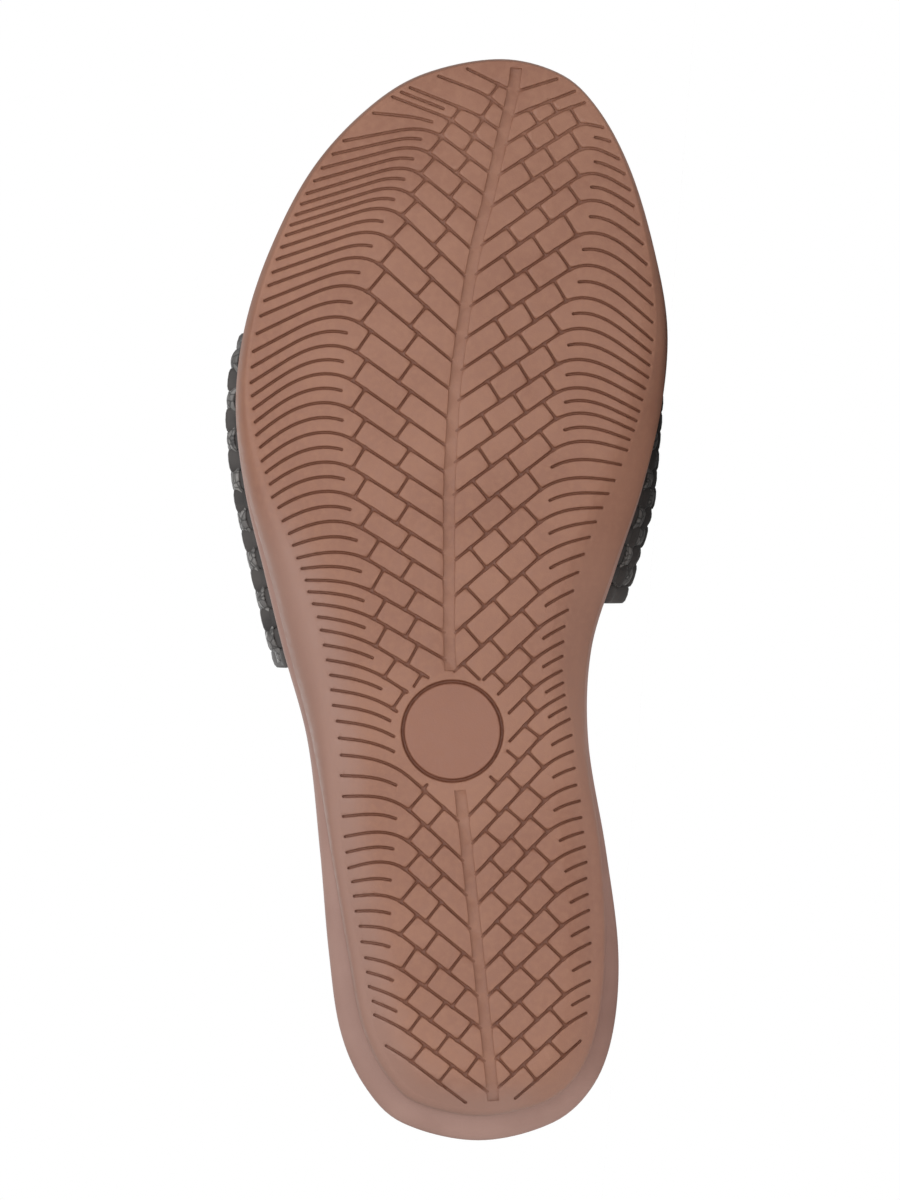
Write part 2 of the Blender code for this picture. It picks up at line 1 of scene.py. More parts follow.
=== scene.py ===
"""Looks of a woven slide sandal that lies on its inner side, seen from below.

Shapes are worked out in the shoe's own frame, in millimetres: x from heel to toe, y towards the inner
(medial) side, z up from the tread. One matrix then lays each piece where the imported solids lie.
"""
import json
import math
from collections import namedtuple

import bpy
import numpy as np
from mathutils import Matrix, Vector
from mathutils.geometry import delaunay_2d_cdt


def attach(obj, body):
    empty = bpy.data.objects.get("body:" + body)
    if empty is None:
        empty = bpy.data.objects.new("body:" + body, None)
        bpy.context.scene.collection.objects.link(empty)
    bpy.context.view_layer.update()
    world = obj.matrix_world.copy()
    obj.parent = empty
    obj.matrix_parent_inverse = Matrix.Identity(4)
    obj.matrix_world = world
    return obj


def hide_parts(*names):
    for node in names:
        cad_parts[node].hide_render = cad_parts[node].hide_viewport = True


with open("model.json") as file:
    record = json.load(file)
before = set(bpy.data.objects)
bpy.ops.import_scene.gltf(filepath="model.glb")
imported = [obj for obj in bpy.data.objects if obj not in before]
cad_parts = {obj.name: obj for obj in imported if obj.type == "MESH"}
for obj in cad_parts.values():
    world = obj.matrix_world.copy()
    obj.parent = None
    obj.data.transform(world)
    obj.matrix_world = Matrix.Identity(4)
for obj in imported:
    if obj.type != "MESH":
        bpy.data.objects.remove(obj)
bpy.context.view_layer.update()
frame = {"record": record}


def table(columns, *rows):
    """A table as a list of rows whose columns have names."""
    row_kind = namedtuple("row_kind", columns)
    return [row_kind(*row) for row in rows]


MM_PER_METRE = 1000.0

# Lying pose, as the solids have it
LEAN_DEG = 2.924
PITCH_DEG = -4.479

# Sole outline seen from below, a row per section: the rim, and how far the tread's edge and the parting line
# stand inside it, which the two tips have as well
LENGTH = 260.0
HEEL_TIP_ACROSS = 2.2
TOE_TIP_ACROSS = 7.5
SOLE_POINTS = 360
CURVE_STEPS = 16
OUTLINE = table(
    "along lateral medial tread_lateral tread_medial seam_lateral seam_medial",
    (4.3, -16.2, 20.2, 8.9, 8.6, 6.2, 6.0),
    (13.2, -25.2, 29.8, 8.8, 7.5, 5.9, 5.2),
    (26.5, -31.0, 34.6, 8.4, 6.8, 5.4, 4.5),
    (45.7, -33.8, 35.8, 7.4, 6.6, 4.5, 3.5),
    (69.8, -35.9, 32.8, 5.6, 4.6, 2.6, 1.5),
    (96.3, -38.9, 28.5, 6.6, 3.6, 1.1, 0.8),
    (117.9, -44.7, 29.2, 9.1, 6.6, 1.3, 0.8),
    (137.2, -49.4, 35.0, 7.7, 7.9, 1.2, 0.8),
    (156.4, -53.9, 41.3, 5.2, 6.4, 0.5, 0.4),
    (175.7, -56.0, 45.7, 3.2, 4.2, 0.0, 0.0),
    (194.9, -53.9, 47.2, 2.3, 3.0, 0.0, 0.0),
    (214.2, -47.6, 44.0, 1.7, 1.9, 0.0, 0.0),
    (233.4, -37.6, 38.4, 1.4, 1.4, 0.1, 0.1),
    (247.8, -24.6, 31.0, 1.3, 1.3, 0.3, 0.3),
    (256.3, -11.2, 22.2, 1.4, 1.4, 0.4, 0.4),
)
TIP_HEEL = (8.9, 6.4)
TIP_TOE = (1.4, 0.4)

# Side view of the sole
HEIGHTS = table(
    "along tread seam rim dish",
    (0.0, 1.8, 11.4, 28.0, 3.5),
    (22.0, 0.0, 10.2, 27.6, 3.5),
    (90.0, 0.0, 9.2, 26.0, 3.0),
    (140.0, 0.0, 8.4, 23.2, 2.0),
    (188.0, 0.0, 7.6, 21.0, 1.6),
    (225.0, 2.4, 9.6, 22.0, 1.4),
    (260.0, 8.0, 14.8, 26.4, 1.0),
)
DISH_REACH = 24.0

# Side walls in section, as shares of the way out and up: in general, around the heel, on the inner side, and
# the flare above the parting line
SECTION = "step out up"
WALL = table(
    SECTION,
    (0.0, 0.0, 0.0),
    (1.0, 0.22, 0.03),
    (2.0, 0.54, 0.20),
    (3.0, 0.84, 0.54),
    (4.0, 1.0, 1.0),
)
HEEL_WALL = table(
    SECTION,
    (0.0, 0.0, 0.0),
    (1.0, 0.45, 0.10),
    (2.0, 0.80, 0.25),
    (3.0, 0.96, 0.52),
    (4.0, 1.0, 1.0),
)
INNER_WALL = table(
    SECTION,
    (0.0, 0.0, 0.0),
    (1.0, 0.26, 0.22),
    (2.0, 0.52, 0.44),
    (3.0, 0.77, 0.69),
    (4.0, 1.0, 1.0),
)
FLARE = table(
    SECTION,
    (0.0, 0.0, 0.0),
    (1.0, 0.66, 0.10),
    (2.0, 1.0, 0.26),
    (3.0, 0.97, 0.60),
    (4.0, 0.86, 1.0),
)
WALL_ROWS = 14
# Parting line: its gap, the rounding of both edges and the share of it at half turn; then the rim's rounding
SEAM_GAP = 0.3
SEAM_ROUND = 0.35
SEAM_TURN = 0.3
RIM_ROUND = 1.6
ROUND_TURNS = (15.0, 30.0, 45.0, 60.0, 75.0, 90.0)
# Spacing of points on surfaces that show and on hidden ones, and what their triangulation keeps and joins
FILL_SPACING = 3.0
HIDDEN_SPACING = 12.0
ALL_TRIANGLES = 0
SAME_POINT = 1e-4
# Points whose nearest place on the rim is looked up in one go, to save memory
POINTS_AT_ONCE = 1000

# Tread: rows of grooves slant up and out from a spine between the lugs, then bend into long sipes
SPINE = table(
    "along middle",
    (4.0, 6.1),
    (10.0, 5.5),
    (40.0, 2.3),
    (70.0, -0.9),
    (100.0, -4.0),
    (125.0, -5.2),
    (150.0, -5.2),
    (175.0, -4.2),
    (200.0, -1.2),
    (215.0, 1.5),
    (225.0, 4.1),
    (239.0, 7.3),
    (252.4, 10.4),
    (258.4, 11.2),
)
# Some of the rows, counted from the heel: where they meet the lugs' inner corners, their slant, the slope of
# their sipe at the tread's edge and the way over which it bends; the rows between are spread evenly
GROOVE_ROW = "number start slant sipe bend"
LATERAL_ROWS = table(
    GROOVE_ROW,
    (0, 6.3, 37.5, 28.0, 8.0),
    (2, 21.0, 36.5, 18.0, 8.0),
    (3, 28.8, 36.5, 8.0, 10.0),
    (4, 36.6, 38.5, 0.0, 10.0),
    (5, 44.8, 39.5, -7.0, 11.0),
    (6, 52.7, 42.5, -17.0, 13.0),
    (8, 68.9, 43.0, -2.0, 14.0),
    (9, 78.3, 41.5, 5.0, 15.0),
    (10, 86.9, 39.0, 7.0, 15.0),
    (13, 109.4, 31.0, 8.0, 15.0),
    (15, 122.8, 29.5, 0.0, 15.0),
    (16, 129.0, 31.5, -14.0, 17.0),
    (17, 135.4, 32.0, -28.0, 20.0),
    (18, 141.6, 32.0, -36.0, 23.0),
    (20, 154.6, 33.0, -41.0, 24.0),
    (22, 167.2, 35.0, -36.0, 21.0),
    (24, 180.7, 36.5, -28.0, 17.0),
    (26, 193.9, 42.5, -20.0, 13.0),
    (28, 207.7, 44.0, -18.0, 12.0),
    (30, 220.9, 39.5, -17.0, 11.0),
    (31, 227.1, 37.5, -15.0, 11.0),
    (32, 232.4, 37.5, -11.0, 12.0),
    (33, 237.5, 36.5, 21.0, 5.0),
    (34, 242.6, 36.5, 22.0, 5.0),
    (35, 247.7, 38.5, 21.0, 6.0),
    (36, 252.4, 27.5, 26.5, 6.0),
)
MEDIAL_ROWS = table(
    GROOVE_ROW,
    (0, 8.5, 41.6, 41.0, 6.0),
    (1, 14.3, 43.0, 26.0, 6.0),
    (2, 21.2, 43.0, 22.0, 7.0),
    (3, 28.7, 43.8, 22.0, 8.0),
    (4, 36.3, 43.7, 22.0, 8.0),
    (5, 43.0, 45.7, 19.0, 9.0),
    (6, 50.4, 46.6, 14.0, 10.0),
    (7, 58.3, 46.2, 10.0, 10.0),
    (8, 65.2, 46.9, 12.0, 10.0),
    (9, 72.6, 46.8, 18.0, 9.0),
    (10, 79.2, 47.6, 24.0, 9.0),
    (12, 92.6, 45.0, 24.0, 9.0),
    (13, 99.4, 44.0, 26.0, 8.0),
    (14, 105.9, 43.4, 27.0, 8.0),
    (15, 114.0, 42.4, 22.0, 10.0),
    (16, 122.6, 42.0, 13.0, 12.0),
    (17, 131.5, 41.0, 1.0, 14.0),
    (18, 139.9, 39.5, -6.0, 15.0),
    (20, 155.8, 36.5, -24.0, 16.0),
    (22, 170.9, 33.5, -30.0, 16.0),
    (24, 185.4, 33.4, -40.0, 16.0),
    (26, 200.6, 33.6, -41.0, 15.0),
    (27, 208.2, 34.8, -36.0, 12.0),
    (28, 215.2, 35.4, -31.0, 10.0),
    (29, 224.4, 33.0, -27.0, 8.0),
    (30, 231.9, 32.5, -13.0, 4.0),
    (31, 239.2, 32.0, 19.0, 4.0),
    (32, 246.0, 31.0, 22.0, 4.0),
    (33, 251.8, 17.5, 17.5, 6.0),
)
ROWS = {-1: LATERAL_ROWS, 1: MEDIAL_ROWS}
# Rows meet the lugs' corners this far out from the spine's middle; how a row's bend is spread, and its start
ROW_MEET = 2.1
BEND_POWER = 1.6
BEND_EARLY = 0.2
# How far out from the spine the cross joints stand, 0 for none: the outer ones end the lugs
JOINTS = table(
    "along lateral_inner lateral_middle lateral_outer medial_inner medial_middle medial_outer",
    (10.0, 0.0, 9.9, 17.4, 0.0, 9.3, 15.6),
    (16.0, 4.4, 11.0, 17.4, 4.0, 9.5, 16.0),
    (28.0, 5.5, 11.3, 17.2, 5.4, 10.8, 17.6),
    (40.0, 6.0, 12.0, 17.3, 7.2, 12.7, 18.8),
    (52.0, 5.4, 10.9, 16.5, 8.2, 13.8, 19.7),
    (56.0, 0.0, 10.2, 16.1, 7.8, 14.0, 19.7),
    (62.0, 0.0, 8.7, 15.2, 7.6, 13.4, 19.4),
    (77.0, 0.0, 7.2, 12.0, 7.9, 13.5, 18.7),
    (92.0, 0.0, 7.2, 11.0, 8.6, 14.2, 19.7),
    (110.0, 0.0, 8.6, 13.6, 6.2, 12.0, 18.8),
    (121.0, 0.0, 8.8, 16.2, 6.4, 12.6, 19.2),
    (130.0, 0.0, 9.5, 17.0, 7.6, 14.0, 20.6),
    (143.0, 0.0, 11.0, 18.3, 7.6, 14.0, 20.4),
    (157.0, 0.0, 11.5, 21.4, 8.4, 14.8, 20.6),
    (171.0, 0.0, 12.2, 22.8, 8.8, 16.2, 23.4),
    (185.0, 0.0, 12.8, 23.8, 9.8, 16.1, 22.4),
    (200.0, 0.0, 11.6, 23.7, 9.6, 15.4, 22.2),
    (214.0, 0.0, 10.0, 21.0, 8.8, 15.5, 22.0),
    (228.0, 0.0, 8.6, 18.4, 8.0, 13.9, 20.0),
    (239.0, 0.0, 7.9, 16.2, 7.1, 12.0, 17.8),
    (245.5, 0.0, 6.6, 13.2, 6.1, 10.7, 16.2),
    (250.5, 0.0, 5.2, 10.4, 4.8, 9.6, 0.0),
    (254.0, 0.0, 4.8, 0.0, 0.0, 0.0, 0.0),
    (262.0, 0.0, 0.0, 0.0, 0.0, 0.0, 0.0),
)
JOINT_COLUMNS = ("inner", "middle", "outer")
LEAST_JOINT = 3.0
JOINT_FIRST_TRY = 10.0
JOINT_TRIES = 5
# From a row up to the middle of its lugs, and how much further out a joint starts on that row
ROW_HALF = 3.5
JOINT_LEAN = 1.4
# Short sipes start this far outside the outer joints, and all stop this far inside the tread's edge
SIPE_SETBACK = 3.8
SIPE_END = 0.65
# Steps and lengths of the grooves' lines
PATH_STEP = 0.5
ROW_REACH = 70.0
GROOVE_POINT_EVERY = 3
JOINT_STEPS = 9
SHORTEST_GROOVE = 1.2
# Spine in two lengths, with the smooth pad and its wider ring between them, whose groove gets more painted
# shade
SPINE_LENGTHS = ((10.3, 84.8), (113.0, 257.3))
SPINE_HALF = 1.5
SPINE_OVERLAP = 0.5
SPINE_POINTS = 40
PAD = (98.7, -4.4)
PAD_RADIUS = 11.8
PAD_CLEAR = 2.1
PAD_RING_WIDER = 1.4
PAD_RING_MORE_SHADE = 1.45
PAD_RING_POINTS = 72
# Groove in section: half width at each depth, and how softly two grooves run together at a lug's corner
GROOVE_HALF = (0.0, 0.25, 0.35, 0.50)
GROOVE_DEPTH = (1.0, 0.9, 0.18, 0.0)
GROOVE_NEAR = 2.0
CORNER_SOFT = 0.22
LEAST_TOTAL = 1e-12
CAP_TURNS = 5
FLAT_TOP_WEIGHT = 90
# Rounding of the tread's edge around the heel: height, width, and where along the sole it is none and full
HEEL_LIFT = 3.0
HEEL_REACH = 8.0
HEEL_ALONG = (115.0, 65.0)
# The same on the inner side, where it also dies out across the sole
INNER_LIFT = 2.0
INNER_REACH = 5.0
INNER_ALONG = (230.0, 170.0)
INNER_ACROSS = (5.0, 20.0)
# Lines inside the tread's edge that carry the rounding
EDGE_LOOPS = (1.5, 3.5, 6.0)
# Paler skin of the rubber along the tread's edge and on the wall above it, with its share on the inner side,
# where it is kept low as painted shade
SKIN_REACH = 9.0
SKIN_ALONG = (175.0, 125.0)
SKIN_SHARE_INNER_SHADE = 0.4
WALL_ABOVE = 0.1
# The painted shade in the grooves is weaker towards the toe
TOE_FADE = (200.0, 245.0)
TOE_FADE_MOST = 0.45

# Woven band, a row per section from front edge (share 0) to rear edge (share 1): where its two sides stand
# along the sole, how far their roots and bellies stand outside the rim, the crest's height and its sweep
BAND = table(
    "share lateral medial lateral_root medial_root lateral_belly medial_belly crest sweep",
    (0.00, 194.4, 207.6, -1.8, -2.4, -0.2, -1.5, 41.0, -6.0),
    (0.25, 174.5, 188.2, -1.2, -2.2, 0.6, -1.1, 46.0, -3.2),
    (0.50, 154.2, 168.6, -0.8, -1.0, 1.2, 0.6, 51.5, -0.4),
    (0.75, 134.0, 149.0, -0.5, 0.6, 1.6, 3.7, 57.0, 2.4),
    (1.00, 113.6, 129.2, -0.4, 0.6, 1.6, 4.4, 62.0, 5.0),
)
BAND_LENGTH = 81.0
BAND_SECTIONS = 73
BAND_WALL = 2.0
BELLY_RISE = 12.0
ARCH_POWER = 2.3
CREST_MEDIAL = 5.0
LEG_POINTS = 9
ARCH_POINTS = 61
MIDDLE_PER_WARP = 6
# Turned-in edges of the band: width, drop into the foam and bend, and the notch in the rim that takes them
FLANGE_SHOWN = 5.0
FLANGE_DROP = 0.2
BEND = 2.0
BEND_TURNS = np.radians(np.linspace(0.0, 90.0, 7))
NOTCH = 2.7
NOTCH_END = 2.0
NOTCH_REACH = (12.0, 15.0)
# Weave: wefts run across the foot and warps along it; how far they swing out and in, and how unevenly
WEFTS = 17
WARPS = 36
WEFT_PITCH = BAND_LENGTH / WEFTS
WARP_PITCH = 5.3
STRIP_OUT = 0.45
WEFT_SWING = 0.80
WARP_SWING = 0.65
SWING_POWER = 0.85
SWING_UNEVEN = 0.04
# Widths in pitches, and how much wider a strip is where it lies on top
WEFT_WIDTH = 1.02
WEFT_SWELL = 0.14
WARP_WIDTH = 0.93
WARP_SWELL = 0.09
WIDTH_UNEVEN = 0.02
# Ends in pitches: wefts run in under the footbed, and warps stop short of the band's edges
WEFT_TUCK = 0.9
WARP_TUCK = 0.35
WOVEN_FROM = 0.2
# Section of a strip, with the two thicker ones along the band's edges
STRIP_THICK = 1.45
STRIP_ROUND = (0.75, 0.9)
EDGE_THICKER = 1.75
EDGE_UNEVEN = 0.05
STATIONS = 6
SECTION_POINTS = 12
# Crossings pushed out next to the sole, on the lateral (-1) and the medial (1) side
BASE_BULGE = {-1: 1.7, 1: 0.4}
BASE_PLACE = 0.6
BASE_REACH = 0.8
# Each strip takes another place on the pattern
STRIP_MAP = "strip_mm"
WEFT_SHIFT = 37.0
WARP_SHIFT = 41.0
WEAVE_SEED = 7
# Lining: its two faces as seen from the band's middle, its ends and its points
LINING_OUT = (-1.25, -1.55)
LINING_ENDS = 0.02
LINING_TUCK = 0.4
LINING_POINTS = (41, 150)

# Footbed sheet
INSOLE_INSET = 4.4
INSOLE_THICK = 3.0
INSOLE_ROUND = 1.1

# Mix node sockets for colours
MIX_FACTOR = 0
MIX_FIRST = 6
MIX_SECOND = 7
MIX_RESULT = 2
# Most of a noise's values lie in this range, and a wave pattern of scale 1 repeats at this length
NOISE_MIDDLE = (0.3, 0.7)
WAVE_LENGTH = math.pi / 10
# Marks on the outsole's points that the rubber takes its colour from
RUBBER_MARKS = ("groove", "pad", "skin")

# Picture: 900 by 1200, toe up
PICTURE_HEIGHT = 286.9
PICTURE_CENTRE = (129.9, -4.8, 8.0)
CAMERA_DISTANCE = 1.6
CAMERA_LOW = 0.00002
SENSOR = 36.0

# Stage, in metres and watts: a white surround as seen and as it lights, soft boxes, and a floor card that
# fades out further off and glows a little as painted light, least under the ball as a painted shadow
WHITE = (1.0, 1.0, 1.0, 1.0)
SURROUND_SEEN = 1.0
SURROUND_LIGHT = 0.4
SOFT_BOXES = table(
    "name place size power",
    ("key box", (0.1, -0.7, 0.8), 0.9, 5.0),
    ("front fill", (-0.2, -1.6, 0.15), 1.0, 8.0),
    ("back box", (-0.4, 1.5, 1.1), 1.2, 6.0),
)
LIGHTS_AIM = Vector((0.0, 0.0, 0.05))
FLOOR_HALF = 3.0
FLOOR_FADE = (0.25, 0.9)
PAINTED_SHADOW_ON_FLOOR = (0.095, 0.0, 0.0)
GLOW_AWAY = (0.03, 0.18)
GLOW = (0.06, 0.32)


def smooth_between(t, width, first, last, first_slope, last_slope):
    """Smooth value at share t of a step between two values, with the slopes at its ends."""
    return ((1 + 2 * t) * (1 - t) ** 2 * first + t * (1 - t) ** 2 * width * first_slope
            + t * t * (3 - 2 * t) * last + t * t * (t - 1) * width * last_slope)


def table_value(rows, column, places):
    """Smooth value of a table column at places along its first column, without overshoot between rows."""
    at = np.array([row[0] for row in rows])
    value = np.array([getattr(row, column) for row in rows])
    step = np.diff(at)
    slope = np.diff(value) / step
    tangent = np.zeros_like(value)
    tangent[0] = slope[0]
    tangent[-1] = slope[-1]
    same_way = slope[:-1] * slope[1:] > 0
    total = np.where(same_way, slope[:-1] + slope[1:], 1.0)
    tangent[1:-1] = np.where(same_way, 2 * slope[:-1] * slope[1:] / total, 0.0)
    places = np.clip(np.asarray(places, float), at[0], at[-1])
    index = np.clip(np.searchsorted(at, places, side="right") - 1, 0, len(step) - 1)
    t = (places - at[index]) / step[index]
    return smooth_between(t, step[index], value[index], value[index + 1], tangent[index], tangent[index + 1])


def ease(share):
    """Smooth step from 0 to 1."""
    share = np.clip(share, 0.0, 1.0)
    return share * share * (3 - 2 * share)


def grown(value, span):
    """0 at the first end of a span, growing smoothly to 1 at its second."""
    none, full = span
    return ease((value - none) / (full - none))


def spaced_evenly(line, count, closed):
    """Points at equal steps along a line, measured in its first two columns."""
    travel = np.concatenate([[0.0], np.cumsum(np.linalg.norm(np.diff(line[:, :2], axis=0), axis=1))])
    wanted = np.linspace(0.0, travel[-1], count, endpoint=not closed)
    return np.column_stack([np.interp(wanted, travel, column) for column in line.T])


def smooth_loop(rows, count):
    """Evenly spaced points on the closed curve through rows of x, y and riding values."""
    rows = np.array(rows, float)
    fine = []
    for number in range(len(rows)):
        around = [rows[(number + shift) % len(rows)] for shift in (-1, 0, 1, 2)]
        knots = [0.0]
        for before, after in zip(around, around[1:]):
            knots.append(knots[-1] + math.sqrt(np.linalg.norm(after[:2] - before[:2])))
        into = (around[2] - around[0]) / (knots[2] - knots[0])
        out_of = (around[3] - around[1]) / (knots[3] - knots[1])
        for t in np.linspace(0.0, 1.0, CURVE_STEPS, endpoint=False):
            fine.append(smooth_between(t, knots[2] - knots[1], around[1], around[2], into, out_of))
    return spaced_evenly(np.array(fine + [fine[0]]), count, True)


def sole_outline():
    """Rim points with outward directions and the insets of tread edge and parting line."""
    rows = [(0.0, HEEL_TIP_ACROSS, *TIP_HEEL)]
    rows += [(row.along, row.medial, row.tread_medial, row.seam_medial) for row in OUTLINE]
    rows += [(LENGTH, TOE_TIP_ACROSS, *TIP_TOE)]
    rows += [(row.along, row.lateral, row.tread_lateral, row.seam_lateral) for row in reversed(OUTLINE)]
    loop = smooth_loop(rows, SOLE_POINTS)
    ahead = np.roll(loop[:, :2], -1, axis=0) - np.roll(loop[:, :2], 1, axis=0)
    ahead /= np.linalg.norm(ahead, axis=1)[:, None]
    return loop[:, :2], np.column_stack([-ahead[:, 1], ahead[:, 0]]), loop[:, 2], loop[:, 3]


RIM, RIM_OUTWARD, TREAD_INSET, SEAM_INSET = sole_outline()


def ring(inset, height):
    """One closed row of points inside the rim by inset, at the heights given."""
    flat = RIM - RIM_OUTWARD * np.broadcast_to(inset, len(RIM))[:, None]
    return np.column_stack([flat, np.broadcast_to(height, len(RIM))])


def rim_distance(points):
    """How far plan points stand inside the rim."""
    return np.linalg.norm(points[:, None, :2] - RIM[None], axis=2).min(axis=1)


def tread_margin(points):
    """How far plan points stand inside the tread's edge."""
    margins = []
    for some in np.array_split(points, 1 + len(points) // POINTS_AT_ONCE):
        nearest = np.linalg.norm(some[:, None] - RIM[None], axis=2).argmin(axis=1)
        outside = np.einsum("ij,ij->i", some - RIM[nearest], RIM_OUTWARD[nearest])
        margins.append(-outside - TREAD_INSET[nearest])
    return np.concatenate(margins)


def rim_across(along, side):
    """Across position of the rim at places along the sole: side -1 lateral, +1 medial."""
    half = RIM[RIM[:, 1] * side > 0]
    order = np.argsort(half[:, 0])
    return np.interp(along, half[order, 0], half[order, 1])


def inside_row(points, boundary):
    """Which plan points lie inside a closed row."""
    inside = np.zeros(len(points), bool)
    for (x0, y0), (x1, y1) in zip(boundary, np.roll(boundary, -1, axis=0)):
        crosses = (y0 > points[:, 1]) != (y1 > points[:, 1])
        span = y1 - y0 if y1 != y0 else 1.0
        inside ^= crosses & (points[:, 0] < x0 + (points[:, 1] - y0) * (x1 - x0) / span)
    return inside


def inner_points(boundary, spacing):
    """Staggered plan points well inside a closed row."""
    low = boundary.min(axis=0)
    high = boundary.max(axis=0)
    grid = []
    for number, x in enumerate(np.arange(low[0], high[0], spacing)):
        grid += [(x, y) for y in np.arange(low[1] + spacing * (number % 2) / 2, high[1], spacing)]
    grid = np.array(grid)
    clear = np.linalg.norm(grid[:, None] - boundary[None], axis=2).min(axis=1) > spacing / 2
    return grid[inside_row(grid, boundary) & clear]


class Shell:
    """Points and faces of one piece, gathered row by row."""

    def __init__(self):
        self.points = []
        self.faces = []

    def add_row(self, row):
        """Add a row's points and give their numbers."""
        start = len(self.points)
        self.points.extend(map(tuple, row))
        return list(range(start, len(self.points)))

    def add_ring(self, inset, height):
        """Closed row inside the rim by inset, at the heights given."""
        return self.add_row(ring(inset, height))

    def round_over(self, inset, top, radius):
        """Closed rows that turn an edge from upright to level."""
        rows = []
        for turn in np.radians(ROUND_TURNS):
            turned_in = inset + radius * (1 - math.cos(turn))
            rows.append(self.add_ring(turned_in, top - radius * (1 - math.sin(turn))))
        return rows

    def skin(self, rows):
        """Faces over closed rows of equal length."""
        for lower, upper in zip(rows, rows[1:]):
            lower_next = lower[1:] + lower[:1]
            upper_next = upper[1:] + upper[:1]
            self.faces.extend(zip(lower, upper, upper_next, lower_next))

    def cap(self, row, face_up):
        """One face over a closed row."""
        self.faces.append(tuple(row if face_up else reversed(row)))

    def fill(self, row, level, face_up, loops=(), spacing=None):
        """Close a row with a surface of height level(points), along loops or over evenly spaced points."""
        boundary = np.array([self.points[index][:2] for index in row])
        edges = []
        start = 0
        for loop in (boundary, *loops):
            edges += [(start + number, start + (number + 1) % len(loop)) for number in range(len(loop))]
            start += len(loop)
        flat = np.concatenate([boundary, *loops])
        if spacing:
            flat = np.concatenate([flat, inner_points(boundary, spacing)])
        found, _, faces, sources, _, _ = delaunay_2d_cdt(
            [Vector(point) for point in flat], edges, [], ALL_TRIANGLES, SAME_POINT, True)
        found = np.array([tuple(point) for point in found])
        faces = np.array(faces)
        faces = faces[inside_row(found[faces].mean(axis=1), boundary)]
        a, b, c = (found[faces[:, corner]] for corner in range(3))
        turn = (b[:, 0] - a[:, 0]) * (c[:, 1] - a[:, 1]) - (b[:, 1] - a[:, 1]) * (c[:, 0] - a[:, 0])
        flip = (turn > 0) != face_up
        faces[flip] = faces[flip][:, ::-1]
        numbers = np.arange(len(found)) + len(self.points)
        for place, source in enumerate(sources):
            shared = [index for index in source if index < len(row)]
            if shared:
                numbers[place] = row[shared[0]]
        self.points.extend((x, y, z) for (x, y), z in zip(found, level(found)))
        self.faces.extend(map(tuple, numbers[faces]))


def shoe_to_world():
    """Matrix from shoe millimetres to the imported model's metres, set by the tread pad's mount."""
    pitch = Matrix.Rotation(math.radians(PITCH_DEG), 4, "Y")
    turn = pitch @ Matrix.Rotation(math.radians(LEAN_DEG - 90), 4, "X") @ Matrix.Scale(1 / MM_PER_METRE, 4)
    pad = next(mount for mount in frame["record"]["mounts"] if mount["name"] == "tread_pad")
    return Matrix.Translation(Vector(pad["pos_m"]) - turn @ Vector((*PAD, 0.0))) @ turn


PLACE = shoe_to_world()


def make_piece(name, shell, material, node=None):
    """Lay a shell down as a smooth piece that rides on the shoe, without the points that no face uses."""
    used = np.unique(np.concatenate([np.ravel(face) for face in shell.faces]))
    new_number = np.zeros(len(shell.points), int)
    new_number[used] = np.arange(len(used))
    points = np.array(shell.points)[used]
    placed = points @ np.array(PLACE.to_3x3()).T + np.array(PLACE.translation)
    mesh = bpy.data.meshes.new(name)
    mesh.from_pydata(placed.tolist(), [], [tuple(new_number[list(face)]) for face in shell.faces])
    mesh.shade_smooth()
    mesh.materials.append(material)
    piece = bpy.data.objects.new(name, mesh)
    bpy.context.scene.collection.objects.link(piece)
    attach(piece, "root")
    if node:
        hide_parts(node)
    return piece, points, used


def linear(code):
    """Linear colour of an sRGB hex value."""
    parts = [int(code[place:place + 2], 16) / 255 for place in (0, 2, 4)]
    return (*[part / 12.92 if part <= 0.04045 else ((part + 0.055) / 1.055) ** 2.4 for part in parts], 1.0)


def add(tree, kind, values=None, links=None, **settings):
    """Add a shader node, set its properties and sockets, and link its inputs."""
    node = tree.nodes.new("ShaderNode" + kind)
    for name, value in settings.items():
        setattr(node, name, value)
    for socket, value in (values or {}).items():
        node.inputs[socket].default_value = value
    for socket, source in (links or {}).items():
        tree.links.new(source, node.inputs[socket])
    return node


def new_material(name, map_name=None):
    """An empty node material, and a link to its places: metres on the piece, or millimetres on a map."""
    material = bpy.data.materials.new(name)
    material.use_nodes = True
    tree = material.node_tree
    tree.nodes.clear()
    if map_name:
        return material, tree, {"Vector": add(tree, "UVMap", uv_map=map_name).outputs["UV"]}
    return material, tree, {"Vector": add(tree, "TexCoord").outputs["Object"]}


def per_metre(millimetres):
    """Pattern scale that gives features of about a size in millimetres, where places are in metres."""
    return MM_PER_METRE / millimetres


def blend(tree, factor, first, second):
    """Colour between two others, each a hex value or a node's output."""
    values = {}
    links = {MIX_FACTOR: factor}
    for socket, colour in ((MIX_FIRST, first), (MIX_SECOND, second)):
        if isinstance(colour, str):
            values[socket] = linear(colour)
        else:
            links[socket] = colour
    return add(tree, "Mix", values, links, data_type="RGBA").outputs[MIX_RESULT]


def spread(tree, source, low, high, least=0.0, most=1.0):
    """Map a range of values smoothly to another."""
    values = {"From Min": low, "From Max": high, "To Min": least, "To Max": most}
    node = add(tree, "MapRange", values, {"Value": source}, interpolation_type="SMOOTHSTEP")
    return node.outputs["Result"]


def finish_material(tree, colour, roughness, height, depth_mm, settings):
    """Shader of a surface: colour, roughness and fine relief from its patterns, the rest plain settings."""
    bump = add(tree, "Bump", {"Strength": 1.0, "Distance": depth_mm / MM_PER_METRE}, {"Height": height})
    links = {"Base Color": colour, "Roughness": roughness, "Normal": bump.outputs["Normal"]}
    shader = add(tree, "BsdfPrincipled", settings, links)
    add(tree, "OutputMaterial", links={"Surface": shader.outputs["BSDF"]})


